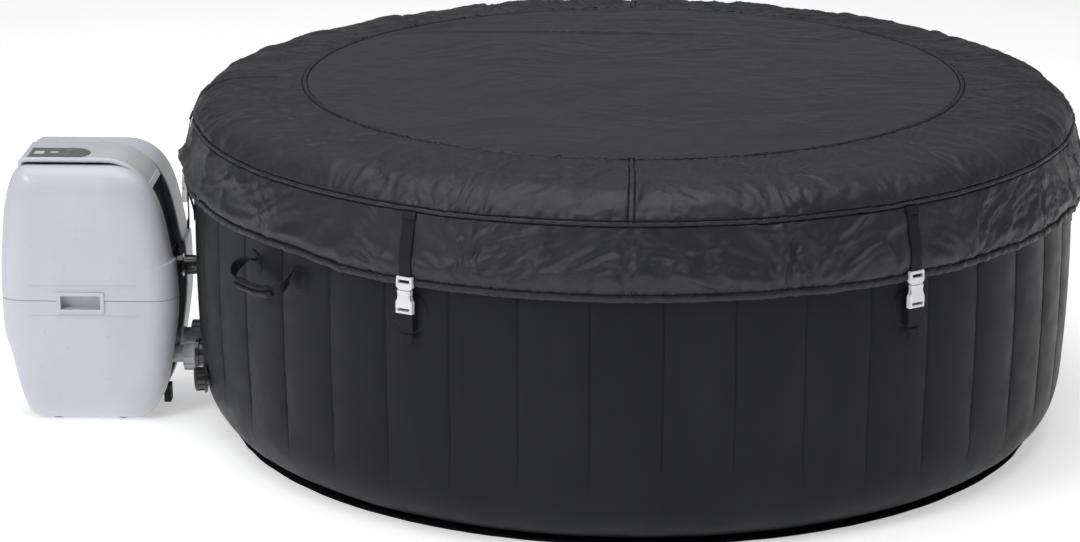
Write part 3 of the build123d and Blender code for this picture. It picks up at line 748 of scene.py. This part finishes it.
def settleCover():
    # the settled cloth, with its moves off the smooth cover limited each way by a tanh
    began = time.time()
    smooth, start = coverStart()
    shape = letClothSettle(start)
    normal = surfaceNormal(smooth)
    move = shape - smooth
    off = (move * normal).sum(-1)
    along = move - off[..., None] * normal
    band = slice(0, drape["bandRows"])
    off[band] -= off[band].mean(1, keepdims=True)  # the padded band doesn't sink
    off[band] += 0.0015 * np.sin(np.linspace(0, np.pi, drape["bandRows"]))[:, None]
    theta = np.linspace(0, 2 * np.pi, drape["columns"], endpoint=False)
    tight = np.where(np.arange(len(smooth)) < drape["bandRows"], drape["bandShare"], 1)[:, None]
    room = drape["outward"] * (0.1 + 0.9 * strapPress(theta))[None] * tight
    sink = drape["inward"] * tight
    soft = np.where(off < 0, sink * np.tanh(off / sink), room * np.tanh(off / room))
    size = np.linalg.norm(along, axis=-1)[..., None]
    along = along * np.minimum(1, drape["slide"] / np.maximum(size, 1e-9))
    took, most = time.time() - began, np.abs(off).max() * 1000
    print("cloth settled in %.1f s, moved %.1f mm at most" % (took, most))
    return smooth + along + soft[..., None] * normal


def cubicTake(grid, places, around=False):
    # values between grid rows, blended from the four nearest ones
    base = np.floor(places).astype(int)
    t = places - base
    weights = [-0.5 * t ** 3 + t ** 2 - 0.5 * t, 1.5 * t ** 3 - 2.5 * t ** 2 + 1,
               -1.5 * t ** 3 + 2 * t ** 2 + 0.5 * t, 0.5 * t ** 3 - 0.5 * t ** 2]
    total = 0
    for offset, weight in zip((-1, 0, 1, 2), weights):
        spot = base + offset
        spot = spot % len(grid) if around else np.clip(spot, 0, len(grid) - 1)
        total = total + weight.reshape((-1,) + (1,) * (grid.ndim - 1)) * grid[spot]
    return total


def finePanel(coarse, length, rows, theta):
    # the settled cloth on a finer grid of rows and turned places
    steps = len(coarse) - 1
    tall = cubicTake(coarse, rows / length * steps)
    places = theta / (2 * np.pi) * drape["columns"]
    return np.swapaxes(cubicTake(np.swapaxes(tall, 0, 1), places, around=True), 0, 1)


def threadLines(at, seed, along, across, width):
    # long thin raised lines where stretched noise changes sign, kept only on their crests
    return np.maximum(ridges(softNoise(at * np.array([across, across, along]), seed), width) - 0.3, 0)


def bandDetail(theta, along, length):
    # small crumples over the settled cloth, tension lines, gathers and stitched seams
    at = clothPlace(theta, along, 0.8)
    steep = clothPlace(theta, along, 2.4)
    share = along / length
    patch = ease(softNoise(at * 6, 49), -0.25, 0.2)
    push = crumple(at, "bandSmall") * patch * (0.35 + 0.65 * share)
    push = push + crumple(at, "bandFine") * (0.3 + 0.7 * patch)
    push = push + 0.0030 * threadLines(steep, 108, 7, 34, 0.03) * ease(softNoise(at * 7, 109), -0.1, 0.2)
    push = push + 0.0022 * threadLines(at, 111, 12, 58, 0.04) * ease(softNoise(at * 8, 112), -0.1, 0.2)
    push = push * ease(along, 0, 0.02)
    gather = softNoise(at * np.array([75, 75, 30]), 26)
    push = push + 0.0024 * gather * (bell(along, 0.018) + bell(length - along, 0.022))
    for angle in cover["quarterSeams"]:
        gap = angleGap(theta, angle) * cover["quarterRadius"]
        push = push * (1 - 0.75 * bell(gap, 0.01)) + seamShape(gap) * (np.abs(gap) < 0.03)
    return push + edgeSeam(along, length)


def skirtDetail(theta, along, length):
    # creases in the slack cloth, gathers at both ends, flat under the straps
    at = clothPlace(theta, along, 1.3)
    steep = clothPlace(theta, along, 4.0)
    share = along / length
    patch = 0.4 + 0.9 * ease(softNoise(at * 6, 50), -0.2, 0.25)
    push = crumple(at, "skirtSmall") + crumple(at, "skirtFine")
    push = push + 0.0034 * threadLines(steep, 113, 9, 26, 0.03) * ease(softNoise(at * 7, 114), -0.1, 0.2)
    push = push * patch * np.sin(np.pi * np.clip(share, 0, 1)) ** 0.6 * (0.15 + 0.85 * strapPress(theta))
    gather = softNoise(at * np.array([90, 90, 12]), 36)
    ends = bell(length - along, 0.018) + 0.7 * bell(along, 0.016)
    push = push + 0.0026 * gather * ends * strapPress(theta)
    for angle in cover["skirtSeams"]:
        gap = angleGap(theta, angle) * cover["skirtRadius"]
        push = push * (1 - 0.5 * bell(gap, 0.01)) - 0.0022 * bell(gap, 0.002)
    return push + edgeSeam(along, length)


def centrePush(theta, r):
    # long shallow tension lines over the flat lid, one firm fold, puckers at the seam
    x, y = r * np.sin(theta), -r * np.cos(theta)
    at = np.stack([x + 0.35 * y, y - 0.16 * x, 0 * x], -1)
    warp = softNoise(at * 3, 41)[..., None] * np.array([0.05, 0.16, 0])
    at, plain = at + warp, at
    slow = softNoise(at * np.array([2.2, 4.5, 1]), 42)
    lines = ridges(softNoise(at * np.array([2.6, 15, 1]), 43), 0.06) - 0.55
    fine = ridges(softNoise(at * np.array([8, 34, 1]), 44), 0.1) - 0.5
    behind = ease(y, -0.1, 0.45)
    thin = np.maximum(ridges(softNoise(at * np.array([3.2, 24, 1]), 52), 0.03) - 0.35, 0)
    dents = crumple(at, "centre")
    shown = ease(softNoise(plain * np.array([1.6, 3, 1]), 54), -0.1, 0.3)
    push = 0.0032 * slow + 0.0010 * lines * (0.2 + behind) + 0.0004 * fine + 0.0020 * thin * shown + dents
    fold = y - (0.395 - 0.06 * (x + 0.5))
    reach = ease(x, -0.62, -0.45) * (1 - ease(x, 0.05, 0.3))
    behindFold = ease(fold, 0, 0.05) * (1 - ease(fold, 0.05, 0.3))
    push = push + 0.0042 * bell(fold, 0.006) * reach - 0.0028 * behindFold * reach
    edge = cover["innerSeam"] - r
    gather = softNoise(roundPlace(theta, 48, r * 18), 45)
    return push * ease(edge, 0, 0.05) + 0.0009 * gather * bell(edge, 0.03)


def coverRows(length, step, fineEnds):
    # rows a step apart, closer together across the seam grooves
    coarse = np.arange(0, length, step)
    dense = np.concatenate([np.arange(0, 0.009, 0.0009) if fineEnds[0] else [0],
                            length - np.arange(0, 0.009, 0.0009) if fineEnds[1] else [length]])
    rows = np.unique(np.round(np.concatenate([coarse, dense, [0, length]]), 5))
    return rows[np.concatenate([[True], np.diff(rows) > 0.0004])]


def coverColumns(seams):
    # even turned places, closer together at each upright seam
    even = np.linspace(0, 2 * np.pi, cover["columns"], endpoint=False)
    near = [np.radians(a) + np.linspace(-0.0105, 0.0105, 19) for a in seams]
    columns = np.unique(np.round(np.concatenate([even] + near) % (2 * np.pi), 5))
    return columns[np.concatenate([[True], np.diff(columns) > 0.0006])]


def edgeSeam(along, length):
    # half of the seam lies on each of the two panels that meet there
    return seamShape(along) + seamShape(length - along)


def coverPanels():
    # both sewn panels as fine grids: points, turn and distance from the upper seam
    settled = settleCover()
    seam = drape["bandRows"] - 1
    panels = {}
    for name, part, step, seams, detail in (
            ("band", settled[:seam + 1], 0.0050, "quarterSeams", bandDetail),
            ("skirt", settled[seam:], 0.0044, "skirtSeams", skirtDetail)):
        _, length = smoothLine(cover[name + "Line"], 50)
        rows = coverRows(length, step, (True, name == "band"))
        t, s = np.meshgrid(coverColumns(cover[seams]), rows)
        plain = finePanel(part, length, rows, t[0])
        points = plain + surfaceNormal(plain) * detail(t, s, length)[..., None]
        panels[name] = {"points": points, "theta": t, "along": s, "length": length}
    # the skirt's first row is the band's last, so the seam closes
    band, skirt = panels["band"], panels["skirt"]
    edge = band["points"][-1]
    turn = band["theta"][0]
    for k in range(3):
        whole = np.append(edge[:, k], edge[0, k])
        skirt["points"][0][:, k] = np.interp(skirt["theta"][0], np.append(turn, 2 * np.pi), whole)
    return panels


def makeBand():
    panel = panels["band"]
    uv = np.stack([panel["theta"] * cover["bandRadius"], panel["along"]], -1)
    piece = gridPiece("coverBand", panel["points"], uv, around=True, flip=True)
    dress(piece, "coverCloth", "cover", "cover_cloth", "cover_band")
    return piece


def makeSkirt():
    panel = panels["skirt"]
    uv = np.stack([panel["theta"] * cover["skirtRadius"], panel["along"]], -1)
    piece = gridPiece("coverSkirt", panel["points"], uv, around=True, flip=True)
    dress(piece, "coverCloth", "cover", "cover_cloth", "cover_skirt")
    return piece


def makeHem():
    # rolled hem: an oval tube that follows the skirt's lower edge, puckered by its elastic
    edge, theta = panels["skirt"]["points"][-1], panels["skirt"]["theta"][-1]
    turn = np.linspace(0, 2 * np.pi, 12, endpoint=False)
    pucker = 1 + 0.5 * softNoise(roundPlace(theta, 110, 0 * theta), 51)
    radial = turned(1, theta, 0 * theta)
    out = 0.0019 * np.cos(turn)[:, None] * pucker[None]
    up = (0.0058 * np.sin(turn) + 0.0002 * np.cos(3 * turn))[:, None] - 0.0035
    groove = 0.0008 * bell(np.sin(turn) - 0.35, 0.12)[:, None] * (np.cos(turn)[:, None] > 0)
    rise = np.array([0, 0, 1.0]) * (up * np.ones_like(out))[..., None]
    grid = edge[None] + radial[None] * (out - groove)[..., None] + rise
    grid = np.concatenate([grid, grid[:1]])
    uv = np.stack(np.meshgrid(theta * cover["skirtRadius"], np.linspace(0, 0.03, 13)), -1)
    hem = mergeDoubles(gridPiece("coverHem", grid, uv, around=True))
    return dress(hem, "coverCloth", "cover", "cover_cloth", "cover_hem")


def centreLevel(r):
    # the flat lid's crown: its height falls with the square of the radius
    return cover["crown"] - (cover["crown"] - cover["rim"]) * (r / cover["innerSeam"]) ** 2


def makeCentre():
    # a disc of rings, closer together at its seam, raised by the crown, the creases and the seam
    r = np.concatenate([np.linspace(0.0, 0.62, 78), np.linspace(0.626, 0.655, 6),
                        np.linspace(0.6575, cover["innerSeam"], 11)])
    theta = np.linspace(0, 2 * np.pi, 900, endpoint=False)
    t, rr = np.meshgrid(theta, r)
    z = centreLevel(rr) + centrePush(t, rr) + seamShape(cover["innerSeam"] - rr)
    points = turned(rr, t, z)
    piece = mergeDoubles(gridPiece("coverCentre", points, points[..., :2], around=True, flip=True))
    dress(piece, "coverCloth", "cover", "cover_cloth", "cover_centre")
    return piece


lid = {
    "radius": 0.662, "low": 0.645, "top": 0.690, "corner": 0.022, "ringPitch": 0.11, "spokes": 6, "dip": 0.006,
}


def makeBladder():
    # inflated lid: two skins tied by concentric and spoke welds, so the faces are quilted
    radius, low, top, corner = lid["radius"], lid["low"], lid["top"], lid["corner"]
    outline = [(0.0, top), (radius - corner, top), (radius - 0.006, top - 0.008), (radius, (low + top) / 2),
               (radius - 0.006, low + 0.008), (radius - corner, low), (0.0, low)]
    line, _ = smoothLine(outline, 150)
    line[0, 0] = line[-1, 0] = 0.0
    theta = np.linspace(0, 2 * np.pi, 288, endpoint=False)
    t, r = np.meshgrid(theta, line[:, 0])
    z = np.broadcast_to(line[:, 1][:, None], t.shape)
    rings = bell(np.sin(r * math.pi / lid["ringPitch"]), 0.18) * (r > 0.05) * (r < 0.62)
    spokes = bell(np.sin(t * lid["spokes"]) * r, 0.02) * (r > 0.11) * (r < 0.64)
    dip = lid["dip"] * np.maximum(rings, spokes)
    face = np.sign(z - (low + top) / 2) * ease(np.abs(z - (low + top) / 2), 0.01, 0.02)
    z = z - dip * face
    uv = np.stack([t * 0.4, r], -1)
    piece = mergeDoubles(gridPiece("lidBladder", turned(r, t, z), uv, around=True))
    dress(piece, "wallVinyl", "cover", "wall_pvc", "lid_bladder")
    return piece


stitch = {
    "pitch": 0.0058, "bandLift": 0.0011, "quarterLift": 0.0004, "centreLift": 0.0016,
    "hemGap": 0.004, "sides": 5,
    # place along the thread and radius there
    "stations": [(-0.0026, 0.0), (-0.0020, 0.00095), (0.0020, 0.00095), (0.0026, 0.0)],
}


def stitchRun(points):
    # evenly spaced places along a line, and the line's direction at each
    step = np.linalg.norm(np.diff(points, axis=0), axis=1)
    length = np.concatenate([[0], np.cumsum(step)])
    places = np.arange(stitch["pitch"] / 2, length[-1], stitch["pitch"])
    spot = np.stack([np.interp(places, length, points[:, k]) for k in range(3)], -1)
    ahead = np.stack([np.interp(places + 0.001, length, points[:, k]) for k in range(3)], -1)
    way = ahead - spot
    return spot, way / np.maximum(np.linalg.norm(way, axis=1), 1e-9)[:, None]


def seamRuns():
    # a line along both grooves of every seam, lifted a little off the cloth
    half = cover["seamHalf"]
    band, skirt = panels["band"], panels["skirt"]
    runs = []
    grooves = ((band, (half, band["length"] - half)), (skirt, (half, skirt["length"] - stitch["hemGap"])))
    for panel, places in grooves:
        for place in places:
            row = np.interp(place, panel["along"][:, 0], np.arange(len(panel["along"])))
            run = cubicTake(panel["points"], np.array([row]))[0]
            run = run + surfaceNormal(panel["points"])[int(round(row))] * stitch["bandLift"]
            runs.append(np.vstack([run, run[:1]]))
    theta = np.linspace(0, 2 * np.pi, 2400)
    r = cover["innerSeam"] - half
    z = centreLevel(r) + centrePush(theta, r + 0 * theta) + seamShape(np.array([half])) + stitch["centreLift"]
    runs.append(turned(r, theta, z))
    keep = (band["along"][:, 0] > 0.008) & (band["along"][:, 0] < band["length"] - 0.008)
    lifted = band["points"] + surfaceNormal(band["points"]) * stitch["quarterLift"]
    for angle in cover["quarterSeams"]:
        for side in (-1, 1):
            turn = (math.radians(angle) + side * half / cover["bandRadius"]) % (2 * math.pi)
            column = np.interp(turn, band["theta"][0], np.arange(band["theta"].shape[1]))
            runs.append(cubicTake(np.swapaxes(lifted, 0, 1), np.array([column]), around=True)[0][keep])
    return runs


def makeStitches():
    # thread dashes along every seam line, each a small capsule: rings of points along its own way
    spots, ways = zip(*[stitchRun(run) for run in seamRuns()])
    spot, way = np.concatenate(spots), np.concatenate(ways)
    outward = spot * np.array([1, 1, 0.0])
    outward = outward / np.linalg.norm(outward, axis=1)[:, None] + np.array([0, 0, 0.6])
    side = np.cross(way, outward)
    side /= np.linalg.norm(side, axis=1)[:, None]
    up = np.cross(side, way)
    sides = stitch["sides"]
    turn = np.linspace(0, 2 * np.pi, sides, endpoint=False)
    stations = np.array(stitch["stations"])
    ring = (side[:, None, None] * np.cos(turn)[None, None, :, None]
            + up[:, None, None] * np.sin(turn)[None, None, :, None])
    body = (spot[:, None, None] + way[:, None, None] * stations[None, :, :1, None]
            + ring * stations[None, :, 1, None, None])
    r, c = np.meshgrid(np.arange(len(stations) - 1), np.arange(sides), indexing="ij")
    after = (c + 1) % sides
    quad = np.stack([r * sides + c, r * sides + after, (r + 1) * sides + after, (r + 1) * sides + c], -1)
    first = np.arange(len(spot))[:, None, None] * len(stations) * sides
    mesh = quadMesh("coverStitches", body, (quad.reshape(-1, 4)[None] + first).reshape(-1, 4))
    mesh.uv_layers.new(name="panel")
    piece = mergeDoubles(linkPiece(mesh, "coverStitches"), 0.000001)
    return dress(piece, "stitchThread", "cover", "cover_cloth")


def skirtOutAt(angle, height):
    # how far out the cloth stands under a strap at that height
    points = panels["skirt"]["points"]
    near = np.abs(angleGap(panels["skirt"]["theta"][0], angle)) < 0.0145
    strip = points[:, near]
    out = np.hypot(strip[..., 0], strip[..., 1]).max(1)
    level = strip[..., 2].mean(1)
    order = np.argsort(level)
    return np.interp(height, level[order], out[order])


def strapPart(name, angle, line, out=0.0, up=0.0, across=0.0, wider=0.0, thick=None):
    # webbing swept along a line of radius and height, at an angle round the tub
    path = atAngle(angle, across + 0 * line[:, 0], line[:, 0] + out, line[:, 1] + up)
    bar = roundedBar(straps["width"] + wider, thick or straps["thick"])
    return sweepPiece(name, path, bar, atAngle(angle, 1.0, 0.0, 0.0))


def makeCoverStraps():
    # each strap lies on the cloth, bridges its hollows, and has a folded tab at the top
    parts = []
    for index, angle in enumerate(straps["angles"]):
        height = np.array(straps["heights"])
        out = skirtOutAt(angle, height) + straps["gap"]
        out[1:-1] = np.maximum(out[1:-1], (out[:-2] + out[2:]) / 2)
        height = np.append(height, straps["end"])
        out = np.append(out, out[-1] - 0.0005)
        line, _ = smoothLine(np.stack([out, height], -1), 48)
        parts.append(strapPart("web%d" % index, angle, line))
        parts.append(strapPart("tab%d" % index, angle, line[:6], 0.0022, 0.0004, wider=0.0024, thick=0.0042))
    piece = joinPieces(parts, "coverStraps")
    return dress(piece, "strapWeb", "cover", "webbing", "cover_straps")


def makeTubStraps():
    # a hanging tail with its folded end, and the part sewn to the wall behind it
    parts = []
    for index, angle in enumerate(straps["angles"]):
        line, _ = smoothLine(straps["tail"], 40)
        drift = 0.0022 * math.sin(index * 2.1) * ease(0.45 - line[:, 1], 0, 0.06)
        parts.append(strapPart("tail%d" % index, angle, line, across=drift))
        parts.append(strapPart("fold%d" % index, angle, line[-9:], 0.0018, 0.0, drift[-9:], 0.001, 0.003))
        sewn, _ = smoothLine(straps["sewn"], 30)
        parts.append(strapPart("sewn%d" % index, angle, sewn))
    piece = joinPieces(parts, "tubStraps")
    return dress(piece, "strapWeb", "tub", "webbing", "tub_straps")


def turnBump(turn, place, width):
    # a bell round one place on a ring
    return bell((turn - place + np.pi) % (2 * np.pi) - np.pi, width)


def makeHandle(name, node, angle):
    # webbing out of a slot in the patch, round a thick rolled grip, and back into the other slot
    slope = math.radians(handles["slope"])
    half, reach = handles["half"], handles["reach"]
    # along the wall, away from the hinge line in the loop's plane, and square to that plane
    shape = [(-half + 0.010, -0.007, 0.006), (-half - 0.001, -0.001, 0.010), (-half - 0.013, 0.012, 0.006),
             (-half - 0.015, 0.028, 0.000), (-half + 0.002, 0.043, -0.005), (-0.036, reach + 0.002, -0.006),
             (0.012, reach + 0.004, -0.005), (half - 0.026, reach, -0.003), (half - 0.006, 0.036, -0.001),
             (half + 0.003, 0.018, 0.003), (half + 0.001, 0.000, 0.008), (half - 0.009, -0.007, 0.005)]
    line, _ = smoothLine(shape, handles["steps"])
    out = handles["hinge"] + math.cos(slope) * line[:, 1] + math.sin(slope) * line[:, 2]
    up = handles["level"] - math.sin(slope) * line[:, 1] + math.cos(slope) * line[:, 2]
    path = atAngle(angle, line[:, 0], out, up)
    normal = atAngle(angle, 0.0, math.sin(slope), math.cos(slope))
    places = np.linspace(-1, 1, handles["steps"])
    # the webbing turns from flat on the wall to edge on at the grip
    wide = handles["webWidth"] - 0.007 * bell(places, 0.5) + 0.001 * np.sin(places * 23)
    thick = handles["webThick"] + 0.0005 * np.sin(places * 31)
    twist = 0.75 * np.sign(places) * ease(np.abs(places), 0.55, 0.95)
    bar = roundedBar(1, 1)
    flat = np.stack([bar[None, :, 0] * wide[:, None], bar[None, :, 1] * thick[:, None]], -1)
    c, s = np.cos(twist)[:, None], np.sin(twist)[:, None]
    section = np.stack([flat[..., 0] * c - flat[..., 1] * s, flat[..., 0] * s + flat[..., 1] * c], -1)
    loop = sweepPiece("loop", path, section, normal)
    # grip: two rolls of doubled webbing, one inside the other, open along the top
    middle = (np.abs(line[:, 0]) < half - 0.012) & (line[:, 1] > reach * 0.6)
    gripPath = path[middle]
    along = np.linspace(-1, 1, len(gripPath))
    turn = np.linspace(0, 2 * np.pi, 48, endpoint=False)
    swell = 1 + 0.05 * np.sin(along * 8) + 0.05 * softNoise(np.stack([along * 6, along * 0, along * 0], -1), 71)
    swell = swell * (1 - 0.3 * ease(np.abs(along), 0.82, 1.0))
    split = turnBump(turn, 0.9, 0.16)
    lip = turnBump(turn, 1.35, 0.22) + turnBump(turn, 0.45, 0.2)
    swing = 1 + 0.12 * lip - 0.42 * split
    gripWide, gripHigh = handles["gripWide"], handles["gripHigh"]
    ring = np.stack([gripWide * np.cos(turn) * swing, gripHigh * np.sin(turn) * swing], -1)
    grip = sweepPiece("grip", gripPath, ring[None] * swell[:, None, None], normal)
    return dress(joinPieces([loop, grip], name), "strapWeb", node, "webbing", node)


print("building soft pieces")
makeOuterSkin()
makeInnerSkin()
makeFloorSkin()
makeWeldFlange()
makePatches()
print("tub skins made")
panels = coverPanels()
makeCentre()
makeBand()
makeSkirt()
makeHem()
makeBladder()
makeStitches()
print("cover made")
makeCoverStraps()
makeTubStraps()
makeHandle("carryHandleFront", "handle_front", handles["angles"][0])
makeHandle("carryHandleRear", "handle_rear", handles["angles"][1])
print("straps and handles made")

trim = {
    "front": -0.1335, "radius": 0.0055, "steps": 150,
    "lipPlace": (-0.975, 0.4925), "lipAcross": (-0.127, -0.008),
    "line": [(-1.2375, 0.5245), (-1.2355, 0.5400), (-1.2290, 0.5475), (-1.2000, 0.5487), (-1.1400, 0.5487),
             (-1.0700, 0.5485), (-1.0400, 0.5450), (-1.0120, 0.5310), (-0.9900, 0.5100), (-0.9760, 0.4925)],
}


def makeEdgeBead():
    # pale rounded bead along the near edge of the pump's top tray, carried along its outline
    steps = trim["steps"]
    line, _ = smoothLine(trim["line"], steps)
    path = np.stack([line[:, 0], np.full(steps, trim["front"]), line[:, 1]], -1)
    turn = np.linspace(0, 2 * np.pi, 28, endpoint=False)
    taper = np.clip(np.minimum(np.arange(steps), np.arange(steps)[::-1]) / 8, 0.3, 1) ** 0.5
    ring = np.stack([1.15 * np.cos(turn), 0.92 * np.sin(turn)], -1) * trim["radius"]
    bead = sweepPiece("trayBead", path, ring[None] * taper[:, None, None], np.array([0, 1.0, 0]))
    return dress(bead, "shellGrey", "tub", "spine_plastic")


def makeTrayLip():
    # small pale lip where the tray ends above the dark back panel
    x, z = trim["lipPlace"]
    across = np.linspace(*trim["lipAcross"], 40)
    path = np.stack([np.full(40, x), across, np.full(40, z)], -1)
    bar = roundedBar(0.0135, 0.0046, 24, 4)
    lean = np.array([0.5, 0, -1.0])
    lip = sweepPiece("trayLip", path, bar, lean / np.linalg.norm(lean))
    return dress(lip, "shellGrey", "tub", "spine_plastic")


makeEdgeBead()
makeTrayLip()
print("pump trim made")


studio = {
    "floor": 40.0, "floorDrop": 0.0005, "floorColour": (0.9, 0.9, 0.9), "floorPaler": (0.93, 0.93, 0.93),
    "sky": 0.26, "floorGlow": 0.44,
    # name, place, target, size, watts
    "lights": [("topSoft", (-0.4, -0.6, 5.0), (0, 0, 0.0), (6.0, 5.0), 200),
               ("frontSoft", (-3.9, -4.2, 3.8), (-0.2, 0, 0.4), (1.8, 1.4), 105),
               ("rightRim", (5.4, -1.6, 2.6), (0.3, 0, 0.4), (2.0, 2.8), 12)],
    "cameraPlace": (0.0004, -6.399, 2.190), "pitchDown": 16.59, "turnLeft": 1.69, "lens": 107.32,
}


def makeStage():
    # a wide pale floor that gives off a little light of its own
    size = studio["floor"]
    mesh = bpy.data.meshes.new("floor")
    corners = [(x * size, y * size, -studio["floorDrop"]) for x, y in ((-1, -1), (1, -1), (1, 1), (-1, 1))]
    mesh.from_pydata(corners, [], [(0, 1, 2, 3)])
    floor = linkPiece(mesh, "floor")
    material, nodes, links, shader, place = startMaterial("paleFloor")
    drift = noiseNode(nodes, links, place, 2, 4)
    tone = colourRamp(nodes, links, drift, 0.3, studio["floorColour"], 0.7, studio["floorPaler"])
    links.new(tone, shader.inputs["Base Color"])
    glow = {"Emission Color": (1, 1, 1, 1), "Emission Strength": studio["floorGlow"]}
    setInputs(shader, {"Roughness": 0.9, **glow})
    floor.data.materials.append(material)


def addLight(name, place, target, size, power):
    light = bpy.data.lights.new(name, "AREA")
    light.shape = "RECTANGLE"
    light.size, light.size_y = size
    light.energy = power
    lamp = bpy.data.objects.new(name, light)
    lamp.location = place
    lamp.rotation_euler = (Vector(target) - Vector(place)).to_track_quat("-Z", "Y").to_euler()
    bpy.context.scene.collection.objects.link(lamp)


def makeLights():
    # an even sky and three soft panels, each aimed at its target
    world = bpy.data.worlds.new("studio")
    world.use_nodes = True
    setInputs(world.node_tree.nodes["Background"], {"Color": (1, 1, 1, 1), "Strength": studio["sky"]})
    bpy.context.scene.world = world
    for light in studio["lights"]:
        addLight(*light)
    bpy.context.scene.view_settings.view_transform = "Standard"


def makeCamera():
    camera = bpy.data.cameras.new("camera")
    camera.sensor_width = 36
    camera.lens = studio["lens"]
    holder = bpy.data.objects.new("camera", camera)
    holder.location = studio["cameraPlace"]
    holder.rotation_euler = (math.radians(90 - studio["pitchDown"]), 0, math.radians(studio["turnLeft"]))
    bpy.context.scene.collection.objects.link(holder)
    bpy.context.scene.camera = holder


makeStage()
makeLights()
makeCamera()
print("stage ready")
